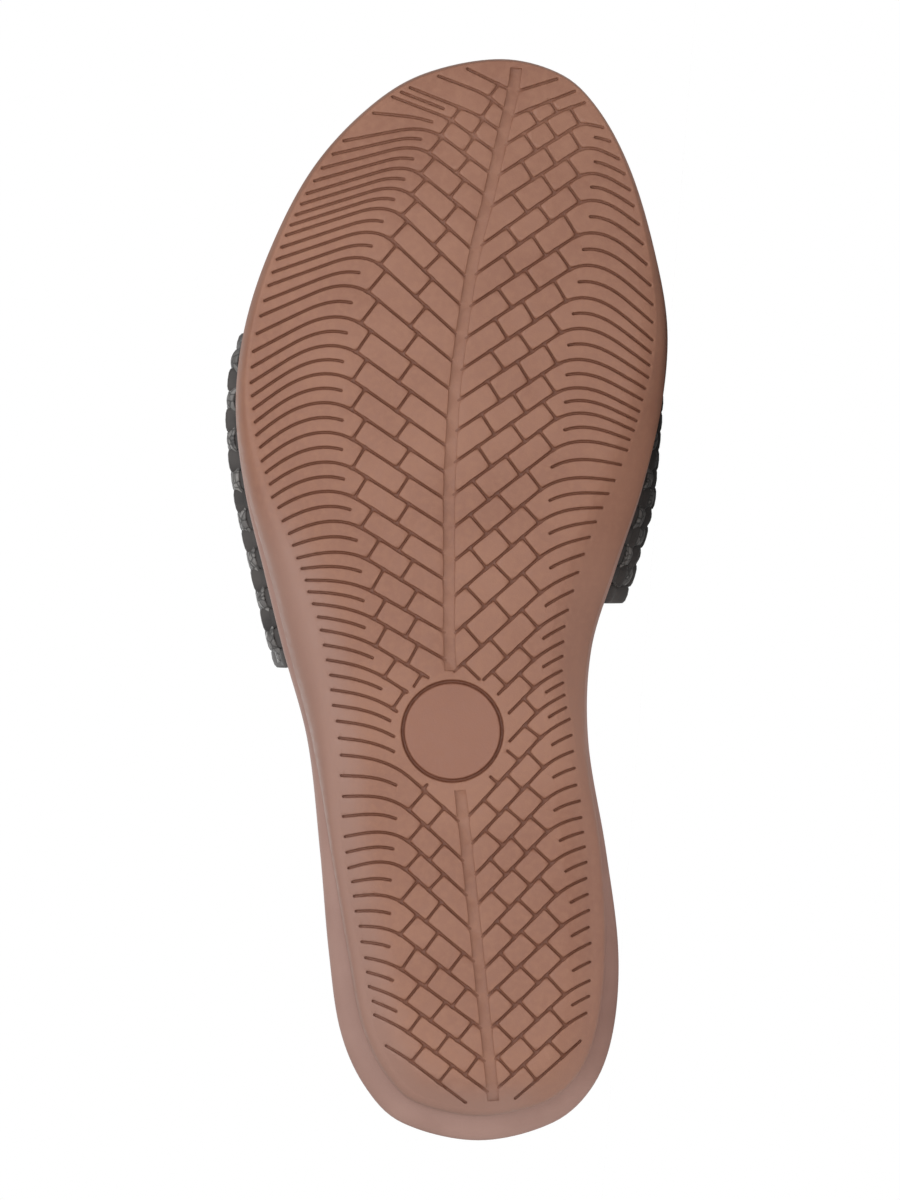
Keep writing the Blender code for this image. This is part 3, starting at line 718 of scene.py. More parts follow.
def make_rubber():
    # Thermoplastic rubber moulded against etched steel: matt, an even warm tan, deeper on the smooth pad,
    # with painted shade in the grooves and a paler skin around the heel, less of it on the inner side as
    # painted shade
    material, tree, place = new_material("moulded thermoplastic rubber")
    cloud = add(tree, "TexNoise", {"Scale": per_metre(24), "Detail": 3.0}, place).outputs["Fac"]
    mottle = add(tree, "TexNoise", {"Scale": per_metre(1.6), "Detail": 3.0}, place).outputs["Fac"]
    # Etched grain is about 0.1 mm, drawn at 0.35 mm so that it shows
    grain = add(tree, "TexNoise", {"Scale": per_metre(0.35), "Detail": 2.0}, place).outputs["Fac"]
    groove, pad, skin = (add(tree, "Attribute", attribute_name=name).outputs["Fac"] for name in RUBBER_MARKS)
    body = blend(tree, spread(tree, cloud, *NOISE_MIDDLE), "8B5E4A", "956853")
    body = blend(tree, spread(tree, mottle, 0.35, 0.75, most=0.35), body, "A2765F")
    body = blend(tree, spread(tree, skin, 0.0, 1.0, most=0.7), body, "98766A")
    body = blend(tree, spread(tree, pad, 0.0, 1.0, most=0.6), body, "8B5C4A")
    # Painted shade: darker in the grooves, more in the pad's ring
    body = blend(tree, spread(tree, groove, 0.1, PAD_RING_MORE_SHADE), body, "683821")
    roughness = spread(tree, mottle, *NOISE_MIDDLE, least=0.5, most=0.62)
    finish_material(tree, body, roughness, grain, depth_mm=0.03, settings={"IOR": 1.52})
    return material


def make_foam():
    # Expanded foam with a moulded skin: softer and greyer than the rubber, with a faint cloudiness
    material, tree, place = new_material("moulded EVA foam with skin")
    cloud = add(tree, "TexNoise", {"Scale": per_metre(18), "Detail": 3.0}, place).outputs["Fac"]
    # The skin's grain is about 0.2 mm, drawn at 0.5 mm so that it shows
    grain = add(tree, "TexNoise", {"Scale": per_metre(0.5), "Detail": 2.0}, place).outputs["Fac"]
    body = blend(tree, spread(tree, cloud, *NOISE_MIDDLE), "9A786D", "A58378")
    roughness = spread(tree, grain, *NOISE_MIDDLE, least=0.55, most=0.66)
    finish_material(tree, body, roughness, grain, depth_mm=0.03, settings={"IOR": 1.5})
    return material


def make_suede():
    # Microfibre brushed to a nap: dark, no gloss, patches where the nap lies another way
    material, tree, place = new_material("brushed microfibre suede")
    patch = add(tree, "TexNoise", {"Scale": per_metre(14), "Detail": 3.0}, place).outputs["Fac"]
    # Nap fibres are about 0.1 mm, drawn at 0.4 mm so that they show
    nap = add(tree, "TexNoise", {"Scale": per_metre(0.4), "Detail": 3.0}, place).outputs["Fac"]
    body = blend(tree, spread(tree, patch, 0.35, 0.65), "343130", "423E3C")
    body = blend(tree, spread(tree, nap, 0.45, 0.8, most=0.5), body, "5A5552")
    roughness = spread(tree, nap, *NOISE_MIDDLE, least=0.85, most=0.95)
    sheen = {"IOR": 1.5, "Sheen Weight": 0.25, "Sheen Roughness": 0.5}
    finish_material(tree, body, roughness, nap, depth_mm=0.12, settings=sheen)
    return material


def make_smooth_strip():
    # Polyurethane on cloth, calendered smooth: charcoal with a soft shine, paler along the strip's edges
    material, tree, place = new_material("smooth polyurethane leathercloth", STRIP_MAP)
    cloud = add(tree, "TexNoise", {"Scale": 1 / 8.333, "Detail": 2.0}, place).outputs["Fac"]
    # Calendered grain is about 0.2 mm, drawn at 0.5 mm so that it shows
    grain = add(tree, "TexVoronoi", {"Scale": 1 / 0.5263}, place).outputs["Distance"]
    edge = add(tree, "Attribute", attribute_name="edge").outputs["Fac"]
    body = blend(tree, spread(tree, cloud, *NOISE_MIDDLE), "3D3A39", "504C4A")
    body = blend(tree, spread(tree, edge, 0.9, 0.99, most=0.6), body, "6B6763")
    roughness = spread(tree, cloud, *NOISE_MIDDLE, least=0.5, most=0.62)
    finish_material(tree, body, roughness, grain, depth_mm=0.03, settings={"IOR": 1.45})
    return material


def make_snake_strip():
    # Polyurethane on cloth, embossed and printed as snake skin: grey scales of 1.7 mm between dark lines
    material, tree, place = new_material("snake print polyurethane leathercloth", STRIP_MAP)
    scales = {"Scale": 1 / 1.7, "Randomness": 0.8}
    scale = add(tree, "TexVoronoi", scales, place).outputs["Color"]
    line = add(tree, "TexVoronoi", scales, place, feature="DISTANCE_TO_EDGE").outputs["Distance"]
    patch = add(tree, "TexNoise", {"Scale": 1 / 6.25, "Detail": 2.0}, place).outputs["Fac"]
    tone = add(tree, "SeparateColor", links={"Color": scale}).outputs["Red"]
    body = blend(tree, spread(tree, tone, 0.2, 0.8), "6A6765", "8E8B88")
    body = blend(tree, spread(tree, patch, 0.45, 0.65, most=0.4), body, "3C3A38")
    body = blend(tree, spread(tree, line, 0.02, 0.14, least=0.8, most=0.0), body, "2E2C2B")
    roughness = spread(tree, line, 0.0, 0.2, least=0.55, most=0.4)
    relief = spread(tree, line, 0.0, 0.25)
    lacquer = {"IOR": 1.5, "Coat Weight": 0.1, "Coat Roughness": 0.3}
    finish_material(tree, body, roughness, relief, depth_mm=0.1, settings=lacquer)
    return material


def make_knit():
    # Knitted lining, raised on one side: near black and matt
    material, tree, place = new_material("knitted polyester lining")
    # Stitches are about 1 mm apart, drawn at 1.885 mm so that they show
    waves = {"Scale": per_metre(1.885) * WAVE_LENGTH, "Distortion": 3.0}
    stitch = add(tree, "TexWave", waves, place).outputs["Fac"]
    body = blend(tree, spread(tree, stitch, 0.2, 0.8), "232221", "343231")
    roughness = spread(tree, stitch, 0.2, 0.8, least=0.8, most=0.92)
    finish_material(tree, body, roughness, stitch, depth_mm=0.1, settings={"IOR": 1.5})
    return material


def groove_rows(side):
    """Every row of one side, with the values between the table's rows."""
    rows = ROWS[side]
    numbers = np.arange(rows[-1].number + 1)
    columns = [table_value(rows, name, numbers) for name in rows[0]._fields]
    return [rows[0]._make(map(float, values)) for values in zip(*columns)]


def spine_across(along):
    """Across position of the spine's middle."""
    return float(table_value(SPINE, "middle", along))


def joint_place(side, which, row):
    """How far out from the spine's middle a cross joint stands, just above a row."""
    column = ("lateral_" if side < 0 else "medial_") + which
    rise = math.tan(math.radians(row.slant))
    out = JOINT_FIRST_TRY
    for _ in range(JOINT_TRIES):
        along = row.start + ROW_HALF + (out - ROW_MEET) * rise
        there = float(table_value(JOINTS, column, along))
        if there < LEAST_JOINT:
            return 0.0
        out = there + side * (spine_across(along) - spine_across(row.start))
    return out


def row_path(side, row):
    """Middle line of one row: straight between the lugs, then bending into its sipe."""
    lugs = max(joint_place(side, which, row) for which in JOINT_COLUMNS) - BEND_EARLY
    spine = spine_across(row.start)
    along = row.start - ROW_MEET * math.tan(math.radians(row.slant))
    points = []
    for out in np.arange(0.0, ROW_REACH, PATH_STEP):
        points.append((along, spine + side * out))
        bend = 1 - (1 - np.clip((out - lugs) / row.bend, 0.0, 1.0)) ** BEND_POWER
        along += PATH_STEP * math.tan(math.radians(row.slant + (row.sipe - row.slant) * bend))
    return np.array(points)


def pad_distance(points):
    """Distance of plan points from the pad's middle."""
    return np.hypot(points[:, 0] - PAD[0], points[:, 1] - PAD[1])


def kept_runs(path):
    """The stretches of a path that lie on the tread, clear of the pad and out of the spine."""
    from_spine = np.minimum(*[spine_distance(path, ends) for ends in SPINE_LENGTHS])
    kept = (pad_distance(path) > PAD_RADIUS + PAD_CLEAR) & (from_spine > -SPINE_OVERLAP)
    kept &= tread_margin(path) > SIPE_END
    cuts = np.flatnonzero(np.diff(kept.astype(int))) + 1
    runs = zip(np.split(path, cuts), np.split(kept, cuts))
    return [run for run, flags in runs if flags[0] and len(run) * PATH_STEP > SHORTEST_GROOVE]


def thin_out(path):
    """A path with fewer points, both ends kept."""
    return np.concatenate([path[:-1:GROOVE_POINT_EVERY], path[-1:]])


def cross_joint(lower, upper, out):
    """Short groove square across from the lower row to the upper one, at a place out from the spine."""
    at = min(len(lower) - 2, int(out / PATH_STEP))
    ahead = lower[1] - lower[0]
    ahead /= np.linalg.norm(ahead)
    crossing = np.argmin(np.abs((upper - lower[at]) @ ahead))
    return np.linspace(lower[at], upper[crossing], JOINT_STEPS)


def tread_grooves():
    """Middle lines of all narrow grooves: rows with their sipes, short sipes between, and cross joints."""
    grooves = []
    for side in ROWS:
        rows = groove_rows(side)
        paths = [row_path(side, row) for row in rows]
        for path in paths:
            grooves += [thin_out(run) for run in kept_runs(path)]
        for row, lower, upper in zip(rows, paths, paths[1:]):
            outer = joint_place(side, "outer", row)
            if outer > 0 and row.number > 0:
                between = ((lower + upper) / 2)[int((outer + SIPE_SETBACK) / PATH_STEP):]
                grooves += [thin_out(run) for run in kept_runs(between)]
            for which in JOINT_COLUMNS:
                out = joint_place(side, which, row)
                if out > 0:
                    grooves += kept_runs(cross_joint(lower, upper, out + JOINT_LEAN))
    return grooves


def path_sides(path):
    """Directions ahead and to the left along a plan path."""
    ahead = np.gradient(path, axis=0)
    ahead /= np.linalg.norm(ahead, axis=1)[:, None]
    return ahead, np.column_stack([-ahead[:, 1], ahead[:, 0]])


def outline_around(path, reach):
    """Closed line at a distance all round a path, with round ends."""
    ahead, left = path_sides(path)
    turns = np.linspace(0.0, math.pi, CAP_TURNS + 1)[1:-1]
    ends = []
    for number, way in ((-1, 1), (0, -1)):
        forward = ahead[number] * way
        side = left[number] * way
        ends.append([path[number] + reach * (side * math.cos(t) + forward * math.sin(t)) for t in turns])
    return np.concatenate([path + reach * left, ends[0], (path - reach * left)[::-1], ends[1]])


def line_distance(points, path):
    """Distance of plan points from a line of straight pieces."""
    best = np.full(len(points), np.inf)
    for first, last in zip(path, path[1:]):
        run = last - first
        share = np.clip(((points - first) @ run) / (run @ run), 0.0, 1.0)
        best = np.minimum(best, np.linalg.norm(points - first - share[:, None] * run, axis=1))
    return best


def spine_distance(points, ends):
    """How far plan points stand outside the edge of one length of the spine, which has square ends."""
    lean = math.cos(math.atan((spine_across(ends[1]) - spine_across(ends[0])) / (ends[1] - ends[0])))
    across = np.abs(points[:, 1] - table_value(SPINE, "middle", points[:, 0])) * lean - SPINE_HALF
    return np.maximum(across, np.maximum(ends[0] - points[:, 0], points[:, 0] - ends[1]))


def spine_loop(ends, inset):
    """Closed line inside one length of the spine."""
    along = np.linspace(ends[0] + inset, ends[1] - inset, SPINE_POINTS)
    line = np.column_stack([along, table_value(SPINE, "middle", along)])
    left = path_sides(line)[1] * (SPINE_HALF - inset)
    return np.concatenate([line + left, (line - left)[::-1]])


GROOVES = tread_grooves()


def groove_depth(points, spines):
    """Depth of the grooves at plan points, lugs' corners coming out round, with or without the spines."""
    top = GROOVE_HALF[-1]
    total = np.zeros(len(points))
    for groove in GROOVES:
        low = groove.min(axis=0) - GROOVE_NEAR
        high = groove.max(axis=0) + GROOVE_NEAR
        near = np.flatnonzero(((points > low) & (points < high)).all(axis=1))
        total[near] += np.exp(-line_distance(points[near], groove) / CORNER_SOFT)
    for ends in SPINE_LENGTHS if spines else ():
        total += np.exp(-np.maximum(0.0, spine_distance(points, ends) + top) / CORNER_SOFT)
    total += np.exp(-np.abs(pad_distance(points) - PAD_RADIUS) / PAD_RING_WIDER / CORNER_SOFT)
    return np.interp(-CORNER_SOFT * np.log(np.maximum(total, LEAST_TOTAL)), GROOVE_HALF, GROOVE_DEPTH)


def inner_share(points):
    """1 along the inner side of the foot, falling to 0 towards the toe and across the sole."""
    return grown(points[:, 1], INNER_ACROSS) * grown(points[:, 0], INNER_ALONG)


def tread_plain(points):
    """Height of the tread without grooves, its edge rounded off around the heel and on the inner side."""
    margin = tread_margin(points)
    heel = HEEL_LIFT * grown(points[:, 0], HEEL_ALONG) * np.clip(1 - margin / HEEL_REACH, 0.0, 1.0) ** 2
    inner = INNER_LIFT * inner_share(points) * np.clip(1 - margin / INNER_REACH, 0.0, 1.0) ** 2
    return table_value(HEIGHTS, "tread", points[:, 0]) + np.maximum(heel, inner)


def tread_level(points):
    """Height of the tread with its grooves cut in."""
    return tread_plain(points) + groove_depth(points, True)


def tread_loops():
    """Closed plan lines along which the tread's surface breaks."""
    loops = []
    turns = np.linspace(0.0, 2 * math.pi, PAD_RING_POINTS, endpoint=False)
    circle = np.column_stack([np.cos(turns), np.sin(turns)])
    for half in GROOVE_HALF[1:]:
        loops += [outline_around(groove, half) for groove in GROOVES]
        loops += [spine_loop(ends, GROOVE_HALF[-1] - half) for ends in SPINE_LENGTHS]
        loops += [np.array(PAD) + circle * (PAD_RADIUS + way * half * PAD_RING_WIDER) for way in (-1, 1)]
    return loops


def wall_rows(shell, sections, inset_from, inset_to, low, high):
    """Closed rows of a side wall, from tables of shares out and up, each with its share of the rim."""
    rows = []
    first = sections[0][0]
    for step in np.linspace(first[0].step, first[-1].step, WALL_ROWS):
        out = np.zeros(len(RIM))
        up = np.zeros(len(RIM))
        for section, share in sections:
            out += (float(table_value(section, "out", step)) - out) * share
            up += (float(table_value(section, "up", step)) - up) * share
        rows.append(shell.add_ring(inset_from + (inset_to - inset_from) * out, low + (high - low) * up))
    return rows


def seam_level(points):
    """Height of the parting line."""
    return table_value(HEIGHTS, "seam", points[:, 0])


def mark_outsole(piece, points):
    """Mark the outsole's grooves for painted shade, the pad's face, and the paler skin, kept low on the
    inner side as painted shade, for the rubber's colours.
    """
    plan = points[:, :2]
    wall = points[:, 2] > tread_plain(plan) + GROOVE_DEPTH[0] + WALL_ABOVE
    from_pad = pad_distance(points)
    ring_half = GROOVE_HALF[-1] * PAD_RING_WIDER
    # Painted shade for the grooves, none on the wall
    groove = np.where(wall, 0.0, groove_depth(plan, False) / GROOVE_DEPTH[0])
    # More painted shade in the pad's wider ring
    groove[np.abs(from_pad - PAD_RADIUS) < ring_half] *= PAD_RING_MORE_SHADE
    # Less painted shade in the grooves towards the toe
    groove *= 1 - TOE_FADE_MOST * grown(points[:, 0], TOE_FADE)
    pad = np.where(wall, 0.0, from_pad < PAD_RADIUS - ring_half / 2)
    skin = np.where(wall, 1.0, np.clip(1 - tread_margin(plan) / SKIN_REACH, 0.0, 1.0))
    # Less of the paler skin on the inner side: painted shade
    skin *= grown(points[:, 0], SKIN_ALONG) * (1 - (1 - SKIN_SHARE_INNER_SHADE) * inner_share(points))
    for name, values in zip(RUBBER_MARKS, (groove, pad, skin)):
        mark = piece.data.attributes.new(name, "FLOAT", "POINT")
        mark.data.foreach_set("value", values.astype(np.float32))


def make_outsole(material):
    """Tread with every groove, and the lower side wall up to the parting line."""
    shell = Shell()
    tread = tread_plain(ring(TREAD_INSET, 0.0)[:, :2])
    seam = seam_level(RIM)
    sections = ((WALL, 1.0), (INNER_WALL, inner_share(RIM)), (HEEL_WALL, grown(RIM[:, 0], HEEL_ALONG)))
    rows = wall_rows(shell, sections, TREAD_INSET, SEAM_INSET, tread, seam - SEAM_ROUND)
    rows.append(shell.add_ring(SEAM_INSET + SEAM_ROUND * SEAM_TURN, seam - SEAM_ROUND * SEAM_TURN))
    rows.append(shell.add_ring(SEAM_INSET + SEAM_ROUND, seam))
    shell.skin(rows)
    edge_loops = [ring(TREAD_INSET + inside, 0.0)[:, :2] for inside in EDGE_LOOPS]
    shell.fill(rows[0], tread_level, False, loops=tread_loops() + edge_loops)
    shell.fill(rows[-1], seam_level, True, spacing=HIDDEN_SPACING)
    piece, points, _ = make_piece("outsole_tread", shell, material, "outsole")
    mark_outsole(piece, points)
    flat_tops = piece.modifiers.new("flat lug tops", "WEIGHTED_NORMAL")
    flat_tops.weight = FLAT_TOP_WEIGHT


def midsole_top(points):
    """Dished top of the midsole."""
    dish = table_value(HEIGHTS, "dish", points[:, 0])
    return table_value(HEIGHTS, "rim", points[:, 0]) - dish * ease(rim_distance(points) / DISH_REACH)


def band_notch(points):
    """Depth of the notch in the rim that the band's turned-in edges lie in."""
    lateral = points[:, 1] < 0
    front = np.where(lateral, BAND[0].lateral, BAND[0].medial)
    rear = np.where(lateral, BAND[-1].lateral, BAND[-1].medial)
    inside = np.minimum(front - points[:, 0], points[:, 0] - rear)
    return NOTCH * ease(0.5 + inside / NOTCH_END) * (1 - grown(rim_distance(points), NOTCH_REACH))


def make_midsole(material):
    """Flaring side wall above the parting line, rounded rim and dished top."""
    shell = Shell()
    seam = seam_level(RIM) + SEAM_GAP
    rim = table_value(HEIGHTS, "rim", RIM[:, 0]) - band_notch(RIM)
    rows = [shell.add_ring(SEAM_INSET + SEAM_ROUND, seam),
            shell.add_ring(SEAM_INSET + SEAM_ROUND * SEAM_TURN, seam + SEAM_ROUND * SEAM_TURN)]
    rows += wall_rows(shell, ((FLARE, 1.0),), SEAM_INSET, 0.0, seam + SEAM_ROUND, rim - RIM_ROUND)
    rows += shell.round_over(SEAM_INSET * (1 - FLARE[-1].out), rim, RIM_ROUND)
    shell.skin(rows)
    shell.fill(rows[0], lambda points: seam_level(points) + SEAM_GAP, False, spacing=HIDDEN_SPACING)
    shell.fill(rows[-1], lambda points: midsole_top(points) - band_notch(points), True, spacing=FILL_SPACING)
    make_piece("midsole_rim", shell, material, "midsole")


def make_insole(material):
    """Footbed sheet with a rolled edge."""
    shell = Shell()
    base = midsole_top(ring(INSOLE_INSET, 0.0)) + SEAM_GAP
    rows = [shell.add_ring(INSOLE_INSET, base),
            shell.add_ring(INSOLE_INSET, base + INSOLE_THICK - INSOLE_ROUND)]
    rows += shell.round_over(INSOLE_INSET, base + INSOLE_THICK, INSOLE_ROUND)
    shell.skin(rows)
    for row, lift, face_up in ((rows[0], SEAM_GAP, False), (rows[-1], SEAM_GAP + INSOLE_THICK, True)):
        shell.fill(row, lambda points: midsole_top(points) + lift, face_up, spacing=FILL_SPACING)
    make_piece("footbed", shell, material, "insole")


def band_side(row, side, name):
    """One side of the band at a section: its turned-in edge, its leg up to the belly, and the rim there."""
    along = row[name]
    edge = float(rim_across(along, side))
    root = edge + side * row[name + "_root"]
    belly = edge + side * row[name + "_belly"]
    flange = np.array([[along, root - side * FLANGE_SHOWN], [along, root - side * BEND]])
    level = midsole_top(flange) - BAND_WALL / 2 - FLANGE_DROP
    bend_across = root - side * BEND * (1 - np.sin(BEND_TURNS[1:]))
    bend_level = level[-1] + BEND * (1 - np.cos(BEND_TURNS[1:]))
    turned_in = np.column_stack([np.append(flange[:, 1], bend_across), np.append(level, bend_level)])
    rise = np.linspace(0.0, 1.0, LEG_POINTS)[1:]
    leg_level = bend_level[-1] + (BELLY_RISE - BEND) * rise
    return turned_in, np.column_stack([root + (belly - root) * ease(rise), leg_level]), edge


def band_section(share):
    """Middle line of the band's wall at one section, with places around the foot counted in warps."""
    row = {name: float(table_value(BAND, name, share)) for name in BAND[0]._fields}
    sides = [band_side(row, side, name) for side, name in ((-1, "lateral"), (1, "medial"))]
    bellies = np.array([leg[-1] for _, leg, _ in sides])
    crest_across = bellies[:, 0].mean() + CREST_MEDIAL
    crest_level = bellies[:, 1].max() - BELLY_RISE + row["crest"]
    quarter = np.linspace(0.0, math.pi / 2, ARCH_POINTS)[1:]
    out = np.cos(quarter) ** (2 / ARCH_POWER)
    up = np.sin(quarter) ** (2 / ARCH_POWER)
    woven = []
    for turned_in, leg, _ in sides:
        across, level = leg[-1]
        arch_across = crest_across + (across - crest_across) * out
        arch_level = level + (crest_level - level) * up
        woven.append(np.concatenate([turned_in[-1:], leg, np.column_stack([arch_across, arch_level])]))
    stations = WARPS * MIDDLE_PER_WARP + 1
    middle = spaced_evenly(np.concatenate([woven[0], woven[1][-2::-1]]), stations, False)
    line = np.concatenate([sides[0][0][:-1], middle, sides[1][0][-2::-1]])
    before = (FLANGE_SHOWN - BEND) / WARP_PITCH
    bend = (math.pi / 2 - BEND_TURNS[:-1]) * BEND / WARP_PITCH
    outside = np.concatenate([[-before - bend[0]], -bend])
    around = np.concatenate([outside, np.linspace(0.0, WARPS, stations), WARPS - outside[::-1]])
    lateral_edge, medial_edge = (edge for _, _, edge in sides)
    across = np.clip((line[:, 0] - lateral_edge) / (medial_edge - lateral_edge), 0.0, 1.0)
    along = row["lateral"] + (row["medial"] - row["lateral"]) * across
    along += row["sweep"] * np.sin(math.pi * across)
    return np.column_stack([along, line]), around


class BandSurface:
    """Middle surface of the band: places by share from front to rear and by warps around the foot."""

    def __init__(self, sections):
        made = [band_section(share) for share in np.linspace(0.0, 1.0, sections)]
        self.grid = np.array([line for line, _ in made])
        self.around = made[0][1]
        back = np.gradient(self.grid, axis=0)
        along = np.gradient(self.grid, axis=1)
        self.outward = np.cross(back, along)
        self.outward /= np.linalg.norm(self.outward, axis=2)[:, :, None]
        crest = self.grid.shape[1] // 2
        if self.outward[0, crest, 2] < 0:
            self.outward = -self.outward

    def at(self, share, around, out):
        """Points on the surface moved outward by out millimetres."""
        rows, columns = self.grid.shape[:2]
        row = share * (rows - 1)
        column = np.interp(around, self.around, np.arange(columns))
        r = np.clip(row.astype(int), 0, rows - 2)
        c = np.clip(column.astype(int), 0, columns - 2)
        fr = (row - r)[..., None]
        fc = (column - c)[..., None]
        mixed = []
        for values in (self.grid, self.outward):
            mixed.append((values[r, c] * (1 - fc) + values[r, c + 1] * fc) * (1 - fr)
                         + (values[r + 1, c] * (1 - fc) + values[r + 1, c + 1] * fc) * fr)
        outward = mixed[1] / np.linalg.norm(mixed[1], axis=-1)[..., None]
        return mixed[0] + outward * out[..., None]


def base_bulge(around):
    """How far the crossings next to the sole, pushed together there, stand out beyond the rest."""
    lateral = BASE_BULGE[-1] * np.exp(-((around - BASE_PLACE) / BASE_REACH) ** 2)
    medial = BASE_BULGE[1] * np.exp(-((WARPS - around - BASE_PLACE) / BASE_REACH) ** 2)
    return lateral + medial


def signed_power(wave, power):
    """A wave with broader tops, its sign kept."""
    return np.sign(wave) * np.abs(wave) ** power


def swing(phase):
    """Over and under: a wave between 1 and -1 with broad tops."""
    return signed_power(np.cos(np.pi * phase), SWING_POWER)


# Section of a padded strip as shares of half its width and half its thickness
STRIP_TURNS = np.linspace(0.0, 2 * math.pi, SECTION_POINTS, endpoint=False)
STRIP_ACROSS = signed_power(np.cos(STRIP_TURNS), STRIP_ROUND[0])
STRIP_UP = signed_power(np.sin(STRIP_TURNS), STRIP_ROUND[1])


def add_strip(shell, points):
    """Close a strip given as a grid of sections."""
    rows = [shell.add_row(row) for row in points]
    shell.skin(rows)
    shell.cap(rows[0], True)
    shell.cap(rows[-1], False)


def strip_places(along, width, shift):
    """Places of a strip's points on its pattern, in millimetres, and their nearness to its edges."""
    columns = (along[:, None], STRIP_ACROSS * width[:, None] / 2 + shift, np.abs(STRIP_ACROSS))
    return np.stack(np.broadcast_arrays(*columns), axis=-1).reshape(-1, 3)


def weave_wefts(surface, rng):
    """Strips across the foot, over and under the warps in turn, with a plain thick one along each edge."""
    shell = Shell()
    places = []
    around = np.linspace(-WEFT_TUCK, WARPS + WEFT_TUCK, int((WARPS + 2 * WEFT_TUCK) * STATIONS) + 1)
    woven = (around > WOVEN_FROM) & (around < WARPS - WOVEN_FROM)
    for weft in range(WEFTS):
        wave = swing(around - 0.5 + weft)
        jitter = np.interp(around, np.arange(-1, WARPS + 2), rng.normal(0.0, 1.0, WARPS + 3))
        if weft in (0, WEFTS - 1):
            height = STRIP_OUT - EDGE_UNEVEN + EDGE_UNEVEN * jitter
            width = np.full(len(around), WEFT_PITCH * WEFT_WIDTH)
            thick = STRIP_THICK * EDGE_THICKER
        else:
            height = np.where(woven, STRIP_OUT + (WEFT_SWING + SWING_UNEVEN * jitter) * wave, 0.0)
            height += base_bulge(around)
            width = WEFT_PITCH * (WEFT_WIDTH + WEFT_SWELL * wave + WIDTH_UNEVEN * jitter)
            thick = STRIP_THICK
        share = ((weft + 0.5) * WEFT_PITCH + STRIP_ACROSS * width[:, None] / 2) / BAND_LENGTH
        out = height[:, None] + STRIP_UP * thick / 2
        add_strip(shell, surface.at(share, np.repeat(around[:, None], SECTION_POINTS, axis=1), out))
        places.append(strip_places(around * WARP_PITCH, width, WEFT_SHIFT * weft))
    return shell, np.concatenate(places)


def weave_warps(surface, rng):
    """Strips along the foot, over where the wefts go under."""
    shell = Shell()
    places = []
    along = np.linspace(WARP_TUCK, WEFTS - WARP_TUCK, int((WEFTS - 2 * WARP_TUCK) * STATIONS) + 1)
    inner = (along > 1.0) & (along < WEFTS - 1.0)
    share = np.repeat(along[:, None] / WEFTS, SECTION_POINTS, axis=1)
    for warp in range(WARPS):
        wave = -swing(along - 0.5 + warp)
        jitter = np.interp(along, np.arange(WEFTS + 1), rng.normal(0.0, 1.0, WEFTS + 1))
        height = STRIP_OUT + np.where(inner, (WARP_SWING + SWING_UNEVEN * jitter) * wave, -WARP_SWING)
        width = WARP_PITCH * (WARP_WIDTH + WARP_SWELL * wave + WIDTH_UNEVEN * jitter)
        around = warp + 0.5 + STRIP_ACROSS * width[:, None] / 2 / WARP_PITCH
        out = height[:, None] + STRIP_UP * STRIP_THICK / 2 + base_bulge(around)
        add_strip(shell, surface.at(share, around, out))
        places.append(strip_places(along * WEFT_PITCH, width, WARP_SHIFT * warp))
    return shell, np.concatenate(places)


def set_places(piece, places):
    """Store places on a strip, in millimetres, as the piece's texture map, and nearness to its edge."""
    mesh = piece.data
    corners = np.zeros(len(mesh.loops), int)
    mesh.loops.foreach_get("vertex_index", corners)
    layer = mesh.uv_layers.new(name=STRIP_MAP)
    layer.data.foreach_set("uv", places[corners, :2].astype(np.float32).ravel())
    edge = mesh.attributes.new("edge", "FLOAT", "POINT")
    edge.data.foreach_set("value", places[:, 2].astype(np.float32))


def make_lining(surface, material):
    """Thin backing inside the weave."""
    shares = np.linspace(LINING_ENDS, 1 - LINING_ENDS, LINING_POINTS[0])
    around = np.linspace(-LINING_TUCK, WARPS + LINING_TUCK, LINING_POINTS[1])
    share, place = np.meshgrid(shares, around, indexing="ij")
    outer, inner = (surface.at(share, place, np.full(share.shape, out)) for out in LINING_OUT)
    shell = Shell()
    add_strip(shell, np.concatenate([outer, inner[:, ::-1]], axis=1))
    make_piece("band_lining", shell, material)


def make_camera():
    """Camera square to the tread, as low as the floor allows, rolled so that the toe is up."""
    centre = PLACE @ Vector(PICTURE_CENTRE)
    tread_out = (PLACE.to_3x3() @ Vector((0, 0, -1))).normalized()
    toe = (PLACE.to_3x3() @ Vector((1, 0, 0))).normalized()
    place = centre + tread_out * CAMERA_DISTANCE
    place.z = max(place.z, CAMERA_LOW)
    back = (place - centre).normalized()
    up = (toe - back * toe.dot(back)).normalized()
    right = up.cross(back)
    data = bpy.data.cameras.new("camera")
    data.sensor_width = SENSOR
    data.lens = SENSOR * (place - centre).length / (PICTURE_HEIGHT / MM_PER_METRE)
    camera = bpy.data.objects.new("camera", data)
    turn = Matrix((right, up, back)).transposed().to_4x4()
    camera.matrix_world = Matrix.Translation(place) @ turn
    bpy.context.scene.collection.objects.link(camera)
    bpy.context.scene.camera = camera


def make_surround():
    """Plain white surround that lights less than it shows."""
    scene = bpy.context.scene
    scene.view_settings.view_transform = "Standard"
    world = bpy.data.worlds.new("surround")
    scene.world = world
    world.use_nodes = True
    tree = world.node_tree
    tree.nodes.clear()
    lit, seen = (add(tree, "Background", {"Color": WHITE, "Strength": strength}).outputs["Background"]
                 for strength in (SURROUND_LIGHT, SURROUND_SEEN))
    at_camera = add(tree, "LightPath").outputs["Is Camera Ray"]
    mixed = add(tree, "MixShader", links={0: at_camera, 1: lit, 2: seen})
    add(tree, "OutputWorld", links={"Surface": mixed.outputs["Shader"]})


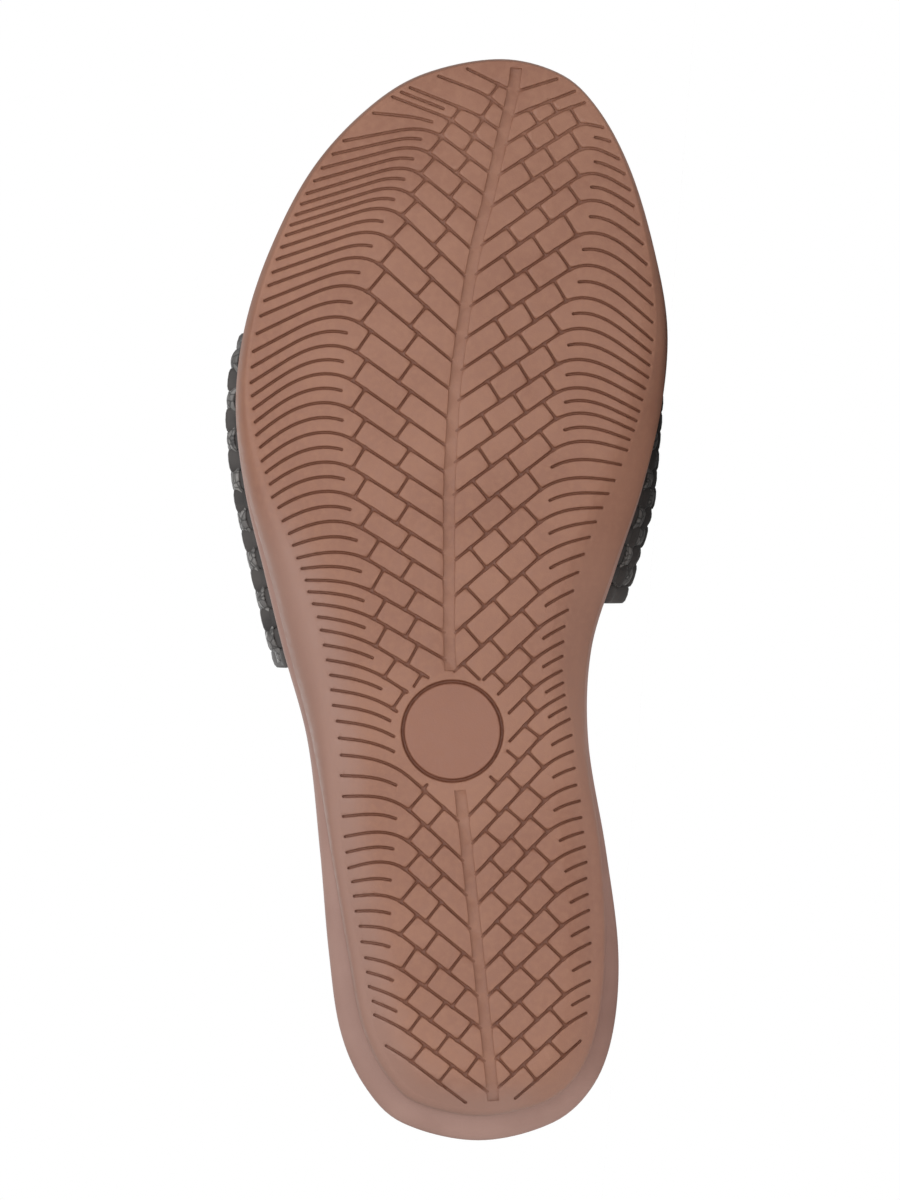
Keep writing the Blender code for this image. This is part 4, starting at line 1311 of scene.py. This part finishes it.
def make_lights():
    """Soft boxes that face the sandal."""
    for box in SOFT_BOXES:
        data = bpy.data.lights.new(box.name, "AREA")
        data.size = box.size
        data.energy = box.power
        light = bpy.data.objects.new(box.name, data)
        light.location = box.place
        light.visible_camera = False
        light.rotation_mode = "QUATERNION"
        light.rotation_quaternion = (LIGHTS_AIM - Vector(box.place)).to_track_quat("-Z", "Y")
        bpy.context.scene.collection.objects.link(light)


def make_floor():
    """Pale card under the sandal, glowing a little as painted light, with a painted shadow under the ball.
    """
    mesh = bpy.data.meshes.new("floor")
    corners = [(x * FLOOR_HALF, y * FLOOR_HALF, 0.0) for x, y in ((-1, -1), (1, -1), (1, 1), (-1, 1))]
    mesh.from_pydata(corners, [], [(0, 1, 2, 3)])
    floor = bpy.data.objects.new("floor", mesh)
    bpy.context.scene.collection.objects.link(floor)
    # Matt card that glows a little, a painted light, so that the side on it isn't lost in shadow; it glows
    # least under the ball, a painted shadow
    material, tree, place = new_material("matt white card with painted glow and shadow")
    away = add(tree, "VectorMath", links={0: place["Vector"]}, operation="LENGTH").outputs["Value"]
    from_painted_shadow = add(tree, "VectorMath", {1: PAINTED_SHADOW_ON_FLOOR}, {0: place["Vector"]}, operation="DISTANCE")
    glow = spread(tree, from_painted_shadow.outputs["Value"], *GLOW_AWAY, *GLOW)
    settings = {"Base Color": linear("E4E2DF"), "Roughness": 0.9, "Emission Color": WHITE}
    card = add(tree, "BsdfPrincipled", settings, {"Emission Strength": glow}).outputs["BSDF"]
    clear = add(tree, "BsdfTransparent").outputs["BSDF"]
    shown = add(tree, "MixShader", links={0: spread(tree, away, *FLOOR_FADE), 1: card, 2: clear})
    add(tree, "OutputMaterial", links={"Surface": shown.outputs["Shader"]})
    mesh.materials.append(material)


make_outsole(make_rubber())
make_midsole(make_foam())
make_insole(make_suede())
band = BandSurface(BAND_SECTIONS)
weave_rng = np.random.default_rng(WEAVE_SEED)
for strips, weave, make_strip in (("band_wefts", weave_wefts, make_smooth_strip),
                                  ("band_warps", weave_warps, make_snake_strip)):
    strip_shell, strip_mm = weave(band, weave_rng)
    strip_piece, _, used_points = make_piece(strips, strip_shell, make_strip(), "upper")
    set_places(strip_piece, strip_mm[used_points])
make_lining(band, make_knit())
make_camera()
make_surround()
make_lights()
make_floor()
